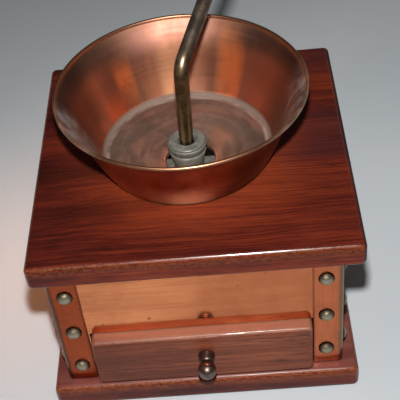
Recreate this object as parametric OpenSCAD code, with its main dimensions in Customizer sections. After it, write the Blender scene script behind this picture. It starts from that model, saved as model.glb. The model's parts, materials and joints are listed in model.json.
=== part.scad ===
// Box coffee mill with an open copper hopper, a bent-rod crank, a conical
// burr set under the top board and a drawer for the ground coffee.
// Millimetres. +Z is up and the drawer faces -Y. The origin is the centre of
// the underside of the base board.

/* [Boards] */
// Width of the base board and of the top board
board_w = 160; // [156:1:170]
// Depth of the base board and of the top board
board_d = 160; // [158:1:170]
// Thickness of the base board
base_t = 14.5; // [12:0.5:16]
// Thickness of the top board
top_t = 14; // [12:0.5:16]
// Rounding of the long edges of the boards
edge_r = 3.2; // [2:0.2:5]
// How far the top board sits to the right of the case
top_dx = 1.8; // [0:0.1:2.4]

/* [Case] */
// Width of the case over the corner straps
case_w = 144.4; // [142:0.2:150]
// Depth of the case over the corner straps
case_d = 147.6; // [145:0.2:152]
// Height of the case between the two boards
case_h = 78; // [76:0.5:84]
// Thickness of the wooden walls
wall_t = 13.4; // [12:0.2:14]
// Thickness of the copper cladding
sheet_t = 0.6; // [0.4:0.1:0.8]
// Thickness of the copper corner straps
strap_t = 1; // [0.8:0.1:1.2]
// Width of each leg of a corner strap
strap_leg = 15.3; // [14:0.1:16]
// Diameter of the domed nail heads
nail_d = 8.2; // [7:0.2:9]

/* [Hopper] */
// Outside radius of the rolled rim
rim_r = 63.1; // [60:0.1:66]
// Height of the hopper above the top board
hopper_h = 40.3; // [38:0.1:44]
// Radius where the wall meets the sloping floor
floor_r = 43.6; // [42:0.1:44]
// Radius of the throat, at the middle of the metal
throat_r = 13.2; // [13:0.1:15.8]
// Thickness of the spun copper
bowl_t = 0.8; // [0.6:0.1:1]
// How far the wall sweeps in from a straight cone below the rim
flare = 2; // [0:0.1:2.4]

/* [Crank] */
// Diameter of the crank rod
rod_d = 7.4; // [7:0.1:7.6]
// Direction of the arm, anticlockwise from +X
arm_az = 64; // [0:1:360]
// Rise of the arm above the horizontal
arm_rise = 29.4; // [20:0.2:32]
// Distance from the crank's axis to the grip's axis
arm_r = 92; // [85:1:105]

/* [Drawer] */
// Width of the drawer front
drawer_w = 111.8; // [108:0.2:112.2]
// Height of the drawer front
drawer_h = 33; // [31:0.2:33.2]
// Thickness of the drawer front
drawer_t = 10; // [9:0.5:11]
// How far the drawer stands to the right of the middle
drawer_dx = 0.4; // [-0.6:0.1:0.6]

/* [Hidden] */
$fn = 64;
e = 0.01;

z_base = base_t;                      // top of the base board
z_case = z_base + case_h;             // top of the case
z_top = z_case + top_t;               // top of the top board
sx = case_w / 2;                      // outer face of a strap, side
sy = case_d / 2;                      // outer face of a strap, front
px = sx - strap_t;                    // outer face of the cladding, side
py = sy - strap_t;                    // outer face of the cladding, front
wx = px - sheet_t;                    // outer face of the wood, side
wy = py - sheet_t;                    // outer face of the wood, front
ix = wx - wall_t;                     // inner face of a side wall
iy = wy - wall_t;                     // inner face of the back wall
open_top = z_base + 35.2;             // top of the drawer opening

nail_hgt = 2.6;                       // height of a nail's dome
nail_rs = (nail_d * nail_d / 4 + nail_hgt * nail_hgt) / (2 * nail_hgt);
nail_shank = 0.8;                     // radius of a nail's shank
nail_len = 6.5;                       // length of a nail's shank
nail_in = 8.6;                        // nail's distance in from the corner
nail_z = [z_base + 13, z_base + 39.5, z_base + 66];
front_drop = 1.6;                     // how far the front nails sit below the rest

screw_x = wx - wall_t / 2;            // base screws and dowels, from the middle
screw_y = 48;
dowel_y = 38;

// The mechanism, downward from the underside of the top board
flange_t = 4;
z_flange = z_case - flange_t;         // underside of the housing flange
z_house = z_case - 26.5;              // underside of the housing
neck_r = 21.5;                        // outside of the housing's neck
bore_r = 16.85;                       // inside of the neck
seat_r = 22;                          // inside of the burr seat
house_r = 28;                         // outside of the housing
flange_r = 36;
bolt_r = 32;                          // circle of the housing screws
bar_t = 3.8;                          // thickness of the bridge's bar
z_hub = z_top + 5;                    // top of the bearing hub
yoke_t = 4;
z_yoke = z_house - yoke_t;
z_boss = z_house - 11;                // underside of the yoke's boss
z_rod = z_house - 2;                  // lower end of the crank rod
ball_r = 2.5;
z_ball = z_rod - ball_r - 0.2;
wheel_t = 4;
z_cone = z_house + 1.6;               // underside of the cone burr
pin_z = z_cone + 12;                  // height of the burr pin
rr = rod_d / 2;

// Crank rod in its own upright plane: [distance out, height]
lean = 3.6;                           // lean of the upright part
z_lean = z_top + 7.5;
lean_r = 20;
z_bend = z_top + 43.5;                // start of the main bend
bend_r = 10;
end_bend_r = 14;
p1 = [lean_r * (1 - cos(lean)), z_lean + lean_r * sin(lean)];
up_len = (z_bend - p1[1]) / cos(lean);
p2 = p1 + up_len * [sin(lean), cos(lean)];
c2 = p2 + bend_r * [cos(lean), -sin(lean)];
p3 = c2 + bend_r * [-sin(arm_rise), cos(arm_rise)];
run_r = arm_r - 12 - end_bend_r * sin(arm_rise);
out_len = (run_r - p3[0]) / cos(arm_rise);
p4 = p3 + out_len * [cos(arm_rise), sin(arm_rise)];
c4 = p4 + end_bend_r * [sin(arm_rise), -cos(arm_rise)];
p5 = c4 + [0, end_bend_r];
z_arm = p5[1];                        // height of the arm's end
eye_r = 8;
eye_t = 6;
gx = arm_r * cos(arm_az);             // the grip's axis
gy = arm_r * sin(arm_az);
z_eye = z_arm + eye_t / 2;            // top of the eye
z_grip = z_eye + 1.4;                 // underside of the grip
grip_h = 41;
pin_r = 3;

drawer_z = z_base + 1.5;              // underside of the drawer front
drawer_y = -(sy + 5.7);               // outer face of the drawer front
db = drawer_y + drawer_t;             // back face of the drawer front
dl = drawer_dx - drawer_w / 2 + 1;    // outer face of the left side
dr = drawer_dx + drawer_w / 2 - 1;    // outer face of the right side
dside = 6;
dback = iy - 11.8;                    // outer face of the drawer's back
dtop = z_base + 32.3;                 // top of the drawer's sides
knob_x = 2;
knob_z = z_base + 20;

copper = [0.72, 0.42, 0.28];
mahogany = [0.30, 0.10, 0.06];
walnut = [0.28, 0.14, 0.09];
iron = [0.36, 0.36, 0.35];
zinc = [0.56, 0.55, 0.50];
bronze = [0.30, 0.22, 0.12];
steel = [0.60, 0.60, 0.60];

// Points of an arc, centre c, radius r, from angle a to angle b
function arc(c, r, a, b, n = 8) = [for (i = [0 : n]) let (t = a + (b - a) * i / n) c + r * [cos(t), sin(t)]];
function unit(v) = v / norm(v);
// Left-hand normal of a polyline at point i
function nrm(p, i) = let (
    a = i > 0 ? unit(p[i] - p[i - 1]) : unit(p[1] - p[0]),
    b = i < len(p) - 1 ? unit(p[i + 1] - p[i]) : a,
    m = unit(a + b)) [-m[1], m[0]] / (m * a);
// Outline of a strip of thickness t along polyline p
function strip(p, t) = concat(
    [for (i = [0 : len(p) - 1]) p[i] + nrm(p, i) * t / 2],
    [for (i = [len(p) - 1 : -1 : 0]) p[i] - nrm(p, i) * t / 2]);
// Smooth curve through the points p, n steps for each span
function spline(p, n) = concat([for (i = [0 : len(p) - 2], k = [0 : n - 1])
    let (a = p[max(i - 1, 0)], b = p[i], c = p[i + 1], d = p[min(i + 2, len(p) - 1)], t = k / n)
    0.5 * (2 * b + (c - a) * t + (2 * a - 5 * b + 4 * c - d) * t * t + (3 * b - a - 3 * c + d) * t * t * t)],
    [p[len(p) - 1]]);

// Rounded rectangle about the origin
module rrect(w, h, r) {
    square([w - 2 * r, h], center = true);
    square([w, h - 2 * r], center = true);
    for (i = [-1, 1], j = [-1, 1]) translate([i * (w / 2 - r), j * (h / 2 - r)]) circle(r);
}

// Board lying on z = 0 with its four long edges rounded and mitred corners
module board(w, d, t, r, rc) {
    intersection() {
        translate([0, 0, t / 2]) rotate([90, 0, 90]) linear_extrude(w + 2, center = true) rrect(d, t, r);
        translate([0, 0, t / 2]) rotate([90, 0, 0]) linear_extrude(d + 2, center = true) rrect(w, t, r);
        linear_extrude(t) rrect(w, d, rc);
    }
}

// Where the nails go: [x, y, z, turn about Z], pointing into the case
function nail_places() = concat(
    [for (i = [-1, 1], z = nail_z) [i * (sx - nail_in), -sy, z - front_drop, 0]],
    [for (i = [-1, 1], z = nail_z) [i * (sx - nail_in), sy, z, 180]],
    [for (j = [-1, 1], z = nail_z) [sx, j * (sy - nail_in), z, 90]],
    [for (j = [-1, 1], z = nail_z) [-sx, j * (sy - nail_in), z, -90]]);

module nail_holes(r = nail_shank + 0.02) {
    for (p = nail_places()) translate([p[0], p[1], p[2]]) rotate([0, 0, p[3]])
        rotate([-90, 0, 0]) translate([0, 0, -1]) cylinder(r = r, h = nail_len + 1.1, $fn = 24);
}

// Screw that lies along +Z: head below z = 0, shank above
module pan_screw(hr, hh, r, l, slot = true) {
    difference() {
        union() {
            translate([0, 0, -hh]) cylinder(r = hr, h = hh);
            translate([0, 0, -hh / 2]) cylinder(r = r, h = l + hh / 2, $fn = 32);
        }
        if (slot) translate([-hr - 1, -0.45, -hh - 1]) cube([2 * hr + 2, 0.9, 1.9]);
    }
}

// Screw that lies along +Z with a countersunk head from z = 0
module flat_screw(hr, hh, r, l) {
    difference() {
        union() {
            cylinder(r1 = hr, r2 = r, h = hh);
            cylinder(r = r, h = l, $fn = 32);
        }
        translate([-hr - 1, -0.45, -1]) cube([2 * hr + 2, 0.9, 1.9]);
    }
}

module base_board() {
    color(mahogany) difference() {
        board(board_w, board_d, base_t, edge_r, 2.8);
        for (i = [-1, 1], j = [-1, 1]) translate([i * screw_x, j * screw_y, 0]) {
            translate([0, 0, -1]) cylinder(r = 2.1, h = base_t + 2, $fn = 32);
            translate([0, 0, -e]) cylinder(r1 = 4.5, r2 = 2.1, h = 2.8, $fn = 32);
        }
    }
}

module base_screws() {
    color(steel) for (i = [-1, 1], j = [-1, 1]) translate([i * screw_x, j * screw_y, 0.5])
        flat_screw(4, 2.3, 1.9, base_t + 20);
}

module side_wall(s) {
    color(walnut) difference() {
        translate([s > 0 ? ix : -wx, -wy, z_base]) cube([wall_t, 2 * wy, case_h]);
        nail_holes();
        for (j = [-1, 1]) {
            translate([s * screw_x, j * screw_y, z_base - 1]) cylinder(r = 1.95, h = 22, $fn = 32);
            translate([s * screw_x, j * dowel_y, z_case - 12.3]) cylinder(r = 3.02, h = 20, $fn = 32);
        }
    }
}
module left_wall() side_wall(-1);
module right_wall() side_wall(1);

module back_wall() {
    color(walnut) translate([-ix, iy, z_base]) cube([2 * ix, wall_t, case_h]);
}

module front_rail() {
    color(walnut) translate([-ix, -wy, open_top]) cube([2 * ix, wall_t, z_case - open_top]);
}

module front_panel() {
    color(copper) difference() {
        translate([-px, -py, z_base]) cube([2 * px, sheet_t, case_h]);
        translate([drawer_dx - drawer_w / 2 - 0.6, -py - 1, z_base - 1]) cube([drawer_w + 1.2, 3, open_top - z_base + 1]);
        nail_holes();
    }
}

module back_panel() {
    color(copper) difference() {
        translate([-px, wy, z_base]) cube([2 * px, sheet_t, case_h]);
        nail_holes();
    }
}

module side_panel(s) {
    color(copper) difference() {
        translate([s > 0 ? wx : -px, -wy, z_base]) cube([sheet_t, 2 * wy, case_h]);
        nail_holes();
    }
}
module left_panel() side_panel(-1);
module right_panel() side_panel(1);

// Bent copper strap over one upright corner; i and j pick the corner
module strap(i, j) {
    r = 2.2;
    color(copper) difference() {
        translate([0, 0, z_base + 0.1]) linear_extrude(case_h - 0.2)
            mirror([i > 0 ? 1 : 0, 0]) mirror([0, j > 0 ? 1 : 0])
            polygon(concat([[-sx, -sy + strap_leg]], arc([-sx + r, -sy + r], r, 180, 270, 6),
                [[-sx + strap_leg, -sy], [-sx + strap_leg, -py], [-px, -py], [-px, -sy + strap_leg]]));
        nail_holes();
    }
}
module strap_front_left() strap(-1, -1);
module strap_front_right() strap(1, -1);
module strap_back_left() strap(-1, 1);
module strap_back_right() strap(1, 1);

module nail() {
    intersection() {
        translate([0, 0, nail_rs - nail_hgt]) sphere(nail_rs);
        translate([0, 0, -nail_hgt]) cylinder(r = nail_d, h = nail_hgt);
    }
    translate([0, 0, -0.5]) cylinder(r = nail_shank, h = nail_len + 0.5, $fn = 24);
}
module strap_nails() {
    color(bronze) for (p = nail_places()) translate([p[0], p[1], p[2]]) rotate([0, 0, p[3]])
        rotate([-90, 0, 0]) nail();
}

module top_dowels() {
    color(walnut) for (i = [-1, 1], j = [-1, 1]) translate([i * screw_x, j * dowel_y, z_case - 12])
        cylinder(r = 3, h = 21.8, $fn = 32);
}

// Middle line of the spun hopper, from the lip up to the rim: [radius, height]
z_seat = z_top - 6.6;
rim_z = z_top + hopper_h - 0.95;
bead_r = rim_r - 0.95;
bowl_line = concat(
    [[throat_r, z_seat - 3.3]],
    arc([throat_r + 1.4, z_seat - 1.3 - 0.244 * (16.4 - throat_r)], 1.4, 180, 104, 4),
    arc([floor_r - 2.6, z_top + 2.3], 3, -76, -24, 5),
    let (a = [floor_r - 2.6, z_top + 2.3] + 3 * [cos(-24), sin(-24)], b = [bead_r - 0.45, rim_z - 0.75])
        [for (i = [1 : 8]) a + (b - a) * i / 8 - [flare * sin(180 * pow(i / 8, 2.2)), 0]]);

// Top board, hollowed to seat the hopper's floor and pass the housing's neck
module top_board() {
    color(mahogany) difference() {
        translate([top_dx, 0, z_case]) board(board_w, board_d, top_t, edge_r, 2.8);
        rotate_extrude($fn = 96) polygon([[0, z_top + 5], [floor_r + 0.9, z_top + 5], [floor_r + 0.9, z_top - 0.5],
            [floor_r - 1.4, z_top - 1.3], [neck_r + 0.5, z_seat + 0.2], [neck_r + 0.5, z_case - 5], [0, z_case - 5]]);
        for (i = [-1, 1], j = [-1, 1]) translate([i * screw_x, j * dowel_y, z_case - 5])
            cylinder(r = 3.02, h = 15.1, $fn = 32);
        for (a = [90, 210, 330]) rotate([0, 0, a]) translate([bolt_r, 0, z_case - 1]) cylinder(r = 1.95, h = 9.2, $fn = 32);
    }
}

module hopper_bowl() {
    color(copper) {
        rotate_extrude($fn = 128) polygon(strip(bowl_line, bowl_t));
        rotate_extrude($fn = 128) translate([bead_r, rim_z]) circle(0.95, $fn = 32);
    }
}

// Cast bearing bridge: a grooved hub on a flat bar across the throat
module bearing_bridge() {
    color(zinc) difference() {
        union() {
            rotate_extrude() polygon([[0, z_case - 0.9], [7.4, z_case - 0.9], [7.7, z_case - 0.3],
                [7.8, z_case + 6], [9.7, z_hub - 6.6], [9.7, z_hub - 5.8], [9, z_hub - 5.3], [10.2, z_hub - 2.1], [10.2, z_hub - 1.4],
                [9.9, z_hub - 1], [9.2, z_hub - 0.9], [9.6, z_hub - 0.7], [9.5, z_hub - 0.3],
                [9.1, z_hub], [0, z_hub]]);
            intersection() {
                translate([-25, -4, z_case]) cube([50, 8, bar_t]);
                translate([0, 0, z_case - 1]) cylinder(r = neck_r - 0.6, h = 10);
            }
        }
        translate([0, 0, z_case - 5]) cylinder(r = rr + 0.05, h = 40);
        translate([0, 0, z_hub - 1.6]) cylinder(r = rr + 1, h = 3);
        for (s = [-1, 1]) translate([s * 18.9, 0, 0]) {
            translate([0, 0, z_case - 1]) cylinder(r = 1.35, h = 10, $fn = 32);
            translate([0, 0, z_case + bar_t - 1.3]) cylinder(r1 = 1.35, r2 = 2.45, h = 1.31, $fn = 32);
        }
    }
}

module bridge_screws() {
    color(steel) for (s = [-1, 1]) translate([s * 18.9, 0, z_case + bar_t - 0.1])
        rotate([180, 0, 0]) flat_screw(2.25, 1.1, 1.25, 10);
}

module burr_housing() {
    color(iron) difference() {
        union() {
            translate([0, 0, z_case - 1]) cylinder(r = neck_r, h = 9.5);
            translate([0, 0, z_flange]) cylinder(r = flange_r, h = flange_t);
            translate([0, 0, z_house]) cylinder(r = house_r, h = z_flange - z_house + 1);
        }
        translate([0, 0, z_house + 15]) cylinder(r = bore_r, h = 40);
        translate([0, 0, z_house - 1]) cylinder(r = seat_r, h = 21);
        rotate_extrude() polygon([[0, z_top + 2], [0, z_seat - 1], [bore_r, z_seat - 0.6], [neck_r + 1, z_seat + 0.8], [neck_r + 1, z_top + 2]]);
        translate([-30, -4.1, z_case]) cube([60, 8.2, 20]);
        for (s = [-1, 1]) {
            translate([s * 18.9, 0, z_case - 6.4]) cylinder(r = 1.27, h = 10, $fn = 32);
            translate([s * 25, 0, z_house - 1]) cylinder(r = 2.02, h = 12, $fn = 32);
        }
        for (a = [90, 210, 330]) rotate([0, 0, a]) translate([bolt_r, 0, z_flange - 1]) cylinder(r = 2.1, h = flange_t + 2, $fn = 32);
    }
}

module housing_screws() {
    color(steel) for (a = [90, 210, 330]) rotate([0, 0, a]) translate([bolt_r, 0, z_flange])
        pan_screw(3.4, 2, 1.9, flange_t + 8);
}

// Fixed outer burr: a toothed cone that narrows downward
module ring_burr() {
    color(iron) difference() {
        translate([0, 0, z_house + 0.1]) cylinder(r = seat_r - 0.05, h = 19.8);
        rotate_extrude() polygon([[0, z_house - 1], [16.6, z_house - 1], [16.6, z_house + 0.1], [17.2, z_house + 6],
            [19.8, z_house + 19.9], [19.8, z_house + 21], [0, z_house + 21]]);
        for (k = [0 : 15]) rotate([0, 0, k * 22.5]) translate([19.2, 0, z_house + 14])
            rotate([0, 10, 0]) rotate([14, 0, 0]) cube([3, 1.8, 18], center = true);
    }
}

// Turning inner burr: a fluted cone with three feed flights on top
module cone_burr() {
    h = 20.4;
    color(iron) difference() {
        union() {
            rotate_extrude() polygon([[0, z_cone], [15.9, z_cone], [16.1, z_cone + 0.6], [15.7, z_cone + 4.4], [9, z_cone + h], [0, z_cone + h]]);
            intersection() {
                translate([0, 0, z_cone + h - 5]) cylinder(r = 15, h = 8);
                for (k = [0 : 2]) rotate([0, 0, k * 120 + 20]) translate([9.5, 0, z_cone + h - 1])
                    rotate([32, 0, 0]) cube([13, 2.4, 9], center = true);
            }
        }
        translate([0, 0, z_cone - 1]) cylinder(r = rr + 0.02, h = 40);
        for (k = [0 : 11]) rotate([0, 0, k * 30]) translate([14.8, 0, z_cone + 7])
            rotate([0, -20, 0]) rotate([-16, 0, 0]) cube([2.6, 1.8, 22], center = true);
        translate([0, 0, pin_z]) rotate([0, 90, arm_az]) cylinder(r = 1.27, h = 60, center = true, $fn = 32);
    }
}

module burr_pin() {
    color(steel) translate([0, 0, pin_z]) rotate([0, 90, arm_az]) cylinder(r = 1.25, h = 20, center = true, $fn = 32);
}

module lower_yoke() {
    color(iron) difference() {
        union() {
            intersection() {
                translate([-32, -6, z_yoke]) cube([64, 12, yoke_t]);
                translate([0, 0, z_yoke - 1]) cylinder(r = house_r + 0.5, h = 10);
            }
            translate([0, 0, z_boss]) cylinder(r = 7.5, h = z_house - z_boss);
        }
        translate([0, 0, z_boss - 1]) cylinder(r = 4.05, h = 20);
        for (s = [-1, 1]) translate([s * 25, 0, z_yoke - 1]) cylinder(r = 2.1, h = 10, $fn = 32);
    }
}

module yoke_screws() {
    color(steel) for (s = [-1, 1]) translate([s * 25, 0, z_yoke]) pan_screw(3, 2.2, 2, yoke_t + 10);
}

module thrust_ball() {
    color(steel) translate([0, 0, z_ball]) sphere(ball_r);
}

// Thumb wheel on a short thread that carries the thrust ball
module adjusting_screw() {
    zt = z_ball - ball_r - 0.1;
    color(bronze) difference() {
        union() {
            translate([0, 0, z_boss - 0.5]) cylinder(r = 4, h = zt - z_boss + 0.5);
            translate([0, 0, z_boss - 0.2 - wheel_t]) cylinder(r = 9.5, h = wheel_t);
        }
        for (k = [0 : 17]) rotate([0, 0, k * 20]) translate([9.9, 0, z_boss - 2 - wheel_t]) cylinder(r = 0.9, h = 10, $fn = 24);
    }
}

// Part of a round rod bent to radius r, from angle a to angle b in the XZ plane.
// It is a shade thicker than the straight lengths, which run a little way into it.
module bend(c, r, a, b) {
    translate([c[0], 0, c[1]]) rotate([90, 0, 0]) rotate([0, 0, a]) rotate_extrude(angle = b - a, $fn = 96)
        translate([r, 0]) circle(rr + 0.05, $fn = 48);
}
// Straight round rod from p to q in the XZ plane, longer by i at p and by j at q
module bar(p, q, i = 0.5, j = 0.5) {
    d = q - p;
    translate([p[0], 0, p[1]]) rotate([0, atan2(d[0], d[1]), 0]) translate([0, 0, -i])
        cylinder(r = rr, h = norm(d) + i + j, $fn = 48);
}

module crank_rod() {
    color(bronze) difference() {
        rotate([0, 0, arm_az]) {
            bar([0, z_rod], [0, z_lean], 0);
            bend([lean_r, z_lean], lean_r, 180 - lean, 180);
            bar(p1, p2);
            bend(c2, bend_r, 90 + arm_rise, 180 - lean);
            bar(p3, p4);
            bend(c4, end_bend_r, 90, 90 + arm_rise);
            bar(p5, [arm_r - eye_r + 2, z_arm], 0.5, 0);
            translate([arm_r, 0, z_arm - eye_t / 2]) cylinder(r = eye_r, h = eye_t);
        }
        translate([gx, gy, z_arm - 10]) cylinder(r = pin_r + 0.02, h = 20);
        translate([0, 0, pin_z]) rotate([0, 90, arm_az]) cylinder(r = 1.27, h = 20, center = true, $fn = 32);
    }
}

module grip_pin() {
    zh = z_grip + grip_h + 0.3;
    color(steel) translate([gx, gy, 0]) {
        translate([0, 0, z_arm - eye_t / 2 - 0.5]) cylinder(r = pin_r, h = zh - z_arm + eye_t / 2 + 1);
        translate([0, 0, z_arm - eye_t / 2 - 1.6]) cylinder(r1 = 3.6, r2 = 4.8, h = 1.6);
        intersection() {
            translate([0, 0, zh - 4.6]) sphere(6.8);
            translate([0, 0, zh]) cylinder(r = 8, h = 5);
        }
    }
}

module grip_washer() {
    color(steel) translate([gx, gy, z_eye]) difference() {
        cylinder(r = 5.7, h = 1);
        translate([0, 0, -1]) cylinder(r = pin_r + 0.02, h = 4);
    }
}

module wooden_grip() {
    side = spline([[7.4, 5.6], [7.1, 8], [7.9, 12], [10.6, 18], [13.6, 25], [14.5, 30.5], [13.2, 35.6], [10, 39.3], [7.4, 40.7], [6.9, grip_h]], 5);
    color(mahogany) translate([gx, gy, z_grip]) difference() {
        rotate_extrude() polygon(concat([[0, 0], [6.8, 0], [6.8, 5.6]], side, [[0, grip_h]]));
        translate([0, 0, -1]) cylinder(r = pin_r + 0.05, h = grip_h + 2);
    }
}

module grip_ferrule() {
    color(bronze) translate([gx, gy, z_grip]) rotate_extrude()
        polygon([[6.85, 0], [8, 0], [8.3, 0.5], [8.3, 1.1], [7.9, 1.6], [7.7, 5.1], [7.3, 5.5], [6.85, 5.5]]);
}

module drawer_front() {
    color(walnut) difference() {
        intersection() {
            translate([drawer_dx, 0, 0]) linear_extrude(200)
                union() {
                    translate([0, drawer_y + drawer_t / 2 + 1]) square([drawer_w, drawer_t - 2], center = true);
                    translate([0, drawer_y + drawer_t / 2]) rrect(drawer_w, drawer_t, 1.6);
                }
            translate([0, 0, drawer_z + drawer_h / 2]) rotate([90, 0, 90]) linear_extrude(200, center = true) union() {
                translate([drawer_y + drawer_t / 2, 0]) rrect(drawer_t, drawer_h, 2.6);
                translate([drawer_y + drawer_t / 2 + 2, 0]) square([drawer_t - 4, drawer_h], center = true);
            }
        }
        translate([knob_x, db + 5, knob_z]) rotate([90, 0, 0]) cylinder(r = 1.6, h = 30, $fn = 32);
    }
}

module drawer_side(s) {
    x0 = s > 0 ? dr - dside : dl;
    gx0 = s > 0 ? dr - dside - 1 : dl + dside - 2.5;
    color(walnut) difference() {
        translate([x0, db, z_base + 0.5]) cube([dside, dback - db, dtop - z_base - 0.5]);
        translate([gx0, db - 1, z_base + 3.45]) cube([3.5, dback - db + 2, 3.1]);
    }
}
module drawer_left() drawer_side(-1);
module drawer_right() drawer_side(1);

module drawer_back() {
    color(walnut) translate([dl + dside, dback - dside, z_base + 6.6]) cube([dr - dl - 2 * dside, dside, dtop - z_base - 8.6]);
}

module drawer_bottom() {
    color(walnut) translate([dl + dside - 2.4, db, z_base + 3.5]) cube([dr - dl - 2 * dside + 4.8, dback - db, 3]);
}

// Turned knob: a ball on a tapering collar and a flange, along -Y
module drawer_knob() {
    neck = spline([[4.3, 1.1], [4.1, 2], [3.9, 3.2], [3.7, 4.4], [3.2, 5.4]], 4);
    color(bronze) translate([knob_x, drawer_y, knob_z]) rotate([90, 0, 0]) difference() {
        union() {
            rotate_extrude() polygon(concat([[0, 0], [4, 0], [4.3, 0.4]], neck, [[2.9, 7], [0, 7]]));
            translate([0, 0, 9.7]) sphere(4.7);
        }
        translate([0, 0, -1]) cylinder(r = 1.5, h = 6.5, $fn = 32);
    }
}

module knob_screw() {
    color(steel) translate([knob_x, db, knob_z]) rotate([90, 0, 0]) pan_screw(3.2, 1.8, 1.48, drawer_t + 5);
}

base_board();
left_wall();
right_wall();
back_wall();
front_rail();
front_panel();
left_panel();
right_panel();
back_panel();
strap_front_left();
strap_front_right();
strap_back_left();
strap_back_right();
strap_nails();
base_screws();
top_dowels();
top_board();
hopper_bowl();
bearing_bridge();
bridge_screws();
burr_housing();
housing_screws();
ring_burr();
lower_yoke();
yoke_screws();
thrust_ball();
adjusting_screw();
crank_rod();
cone_burr();
burr_pin();
grip_pin();
grip_washer();
wooden_grip();
grip_ferrule();
drawer_front();
drawer_left();
drawer_right();
drawer_back();
drawer_bottom();
drawer_knob();
knob_screw();
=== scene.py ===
import json
import math
import random

import bmesh
import bpy
from mathutils import Matrix, Vector, noise


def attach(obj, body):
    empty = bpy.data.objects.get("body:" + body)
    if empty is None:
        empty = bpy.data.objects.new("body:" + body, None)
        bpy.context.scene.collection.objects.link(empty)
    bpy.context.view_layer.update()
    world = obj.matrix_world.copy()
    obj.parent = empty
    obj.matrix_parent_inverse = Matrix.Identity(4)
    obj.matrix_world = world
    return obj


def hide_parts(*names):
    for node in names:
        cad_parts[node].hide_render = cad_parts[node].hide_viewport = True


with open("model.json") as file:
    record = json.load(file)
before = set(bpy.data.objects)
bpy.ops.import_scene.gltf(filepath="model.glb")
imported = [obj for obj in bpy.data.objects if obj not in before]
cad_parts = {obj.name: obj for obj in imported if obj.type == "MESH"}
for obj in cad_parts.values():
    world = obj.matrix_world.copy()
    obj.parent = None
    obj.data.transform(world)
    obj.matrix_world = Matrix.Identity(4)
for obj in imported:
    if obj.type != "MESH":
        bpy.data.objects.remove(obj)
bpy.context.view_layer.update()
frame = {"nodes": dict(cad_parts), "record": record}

MM = 0.001
rng = random.Random(11)
pi = math.pi

# ---------------------------------------------------------------- main sizes, millimetres
Z_BASE, Z_CASE, Z_TOP = 14.5, 92.5, 106.5
SX, SY = 72.2, 73.8
PX, PY = 71.2, 72.8
WX, WY = 70.6, 72.2
IX, IY = 57.2, 58.8
OPEN_TOP = 49.7
LEG = 15.3
NAIL_Z = (27.5, 54.0, 80.5)
NAIL_DROP = 1.6  # the front nails sit lower
NAIL_IN = 8.6
AZ = math.radians(64)


# ---------------------------------------------------------------- mesh helpers
def fbm(p, s, octaves=3):
    v, a, t = 0.0, 1.0, 0.0
    q = Vector(p) * s
    for _ in range(octaves):
        v += a * noise.noise(q)
        t += a
        a *= 0.5
        q = q * 2.03 + Vector((7.1, 3.7, 5.3))
    return v / t


def build(name, verts, faces, ang=32.0, merge=True, attrs=None):
    me = bpy.data.meshes.new(name)
    me.from_pydata([(v[0] * MM, v[1] * MM, v[2] * MM) for v in verts], [], faces)
    for k, vals in (attrs or {}).items():
        a = me.attributes.new(k, "FLOAT", "POINT")
        a.data.foreach_set("value", vals)
    bm = bmesh.new()
    bm.from_mesh(me)
    if merge:
        bmesh.ops.remove_doubles(bm, verts=bm.verts, dist=2e-6)
    bmesh.ops.dissolve_degenerate(bm, edges=bm.edges, dist=1e-7)
    bmesh.ops.recalc_face_normals(bm, faces=bm.faces)
    bm.to_mesh(me)
    bm.free()
    me.shade_smooth()
    me.set_sharp_from_angle(angle=math.radians(ang))
    ob = bpy.data.objects.new(name, me)
    bpy.context.scene.collection.objects.link(ob)
    return ob


def join_lists(parts):
    V, F, A = [], [], []
    for p in parts:
        v, f = p[0], p[1]
        a = p[2] if len(p) > 2 else [0.0] * len(v)
        o = len(V)
        V += v
        F += [tuple(i + o for i in q) for q in f]
        A += a
    return V, F, A


def apply_mods(ob, ang=32.0):
    bpy.context.view_layer.update()
    dg = bpy.context.evaluated_depsgraph_get()
    me = bpy.data.meshes.new_from_object(ob.evaluated_get(dg), preserve_all_data_layers=True, depsgraph=dg)
    old = ob.data
    ob.modifiers.clear()
    ob.data = me
    bpy.data.meshes.remove(old)
    me.shade_smooth()
    me.set_sharp_from_angle(angle=math.radians(ang))
    return ob


def cut(ob, cutters, ang=32.0):
    for c in cutters:
        m = ob.modifiers.new("cut", "BOOLEAN")
        m.operation, m.solver, m.object = "DIFFERENCE", "EXACT", c
    apply_mods(ob, ang)
    for c in cutters:
        d = c.data
        bpy.data.objects.remove(c)
        bpy.data.meshes.remove(d)
    return ob


def bevel(ob, width, segments=2, angle=40.0, ang=32.0):
    m = ob.modifiers.new("bevel", "BEVEL")
    m.width, m.segments, m.limit_method, m.angle_limit = width * MM, segments, "ANGLE", math.radians(angle)
    m.harden_normals = False
    return apply_mods(ob, ang)


def ring_lists(prof, seg, place, closed=False, attr=None):
    """Surface of revolution; place(r, h, t) gives the point."""
    V, F, A = [], [], []
    for i, (r, h) in enumerate(prof):
        for k in range(seg):
            V.append(place(r, h, 2 * pi * k / seg))
            A.append(attr[i] if attr else 0.0)
    n = len(prof)
    for i in range(n if closed else n - 1):
        j = (i + 1) % n
        for k in range(seg):
            l = (k + 1) % seg
            F.append((i * seg + k, i * seg + l, j * seg + l, j * seg + k))
    return V, F, A


def up(cx=0.0, cy=0.0, cz=0.0):
    return lambda r, h, t: (cx + r * math.cos(t), cy + r * math.sin(t), cz + h)


def out_y(cx, cy, cz):
    """Axis along -Y."""
    return lambda r, h, t: (cx + r * math.cos(t), cy - h, cz + r * math.sin(t))


def lathe(name, prof, place, seg=96, closed=False, ang=32.0, attr=None, aname="wear_and_shading"):
    V, F, A = ring_lists(prof, seg, place, closed, attr)
    return build(name, V, F, ang, attrs={aname: A} if attr else None)


def arc(cx, cy, r, a, b, n):
    return [(cx + r * math.cos(math.radians(a + (b - a) * i / n)), cy + r * math.sin(math.radians(a + (b - a) * i / n))) for i in range(n + 1)]


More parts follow.
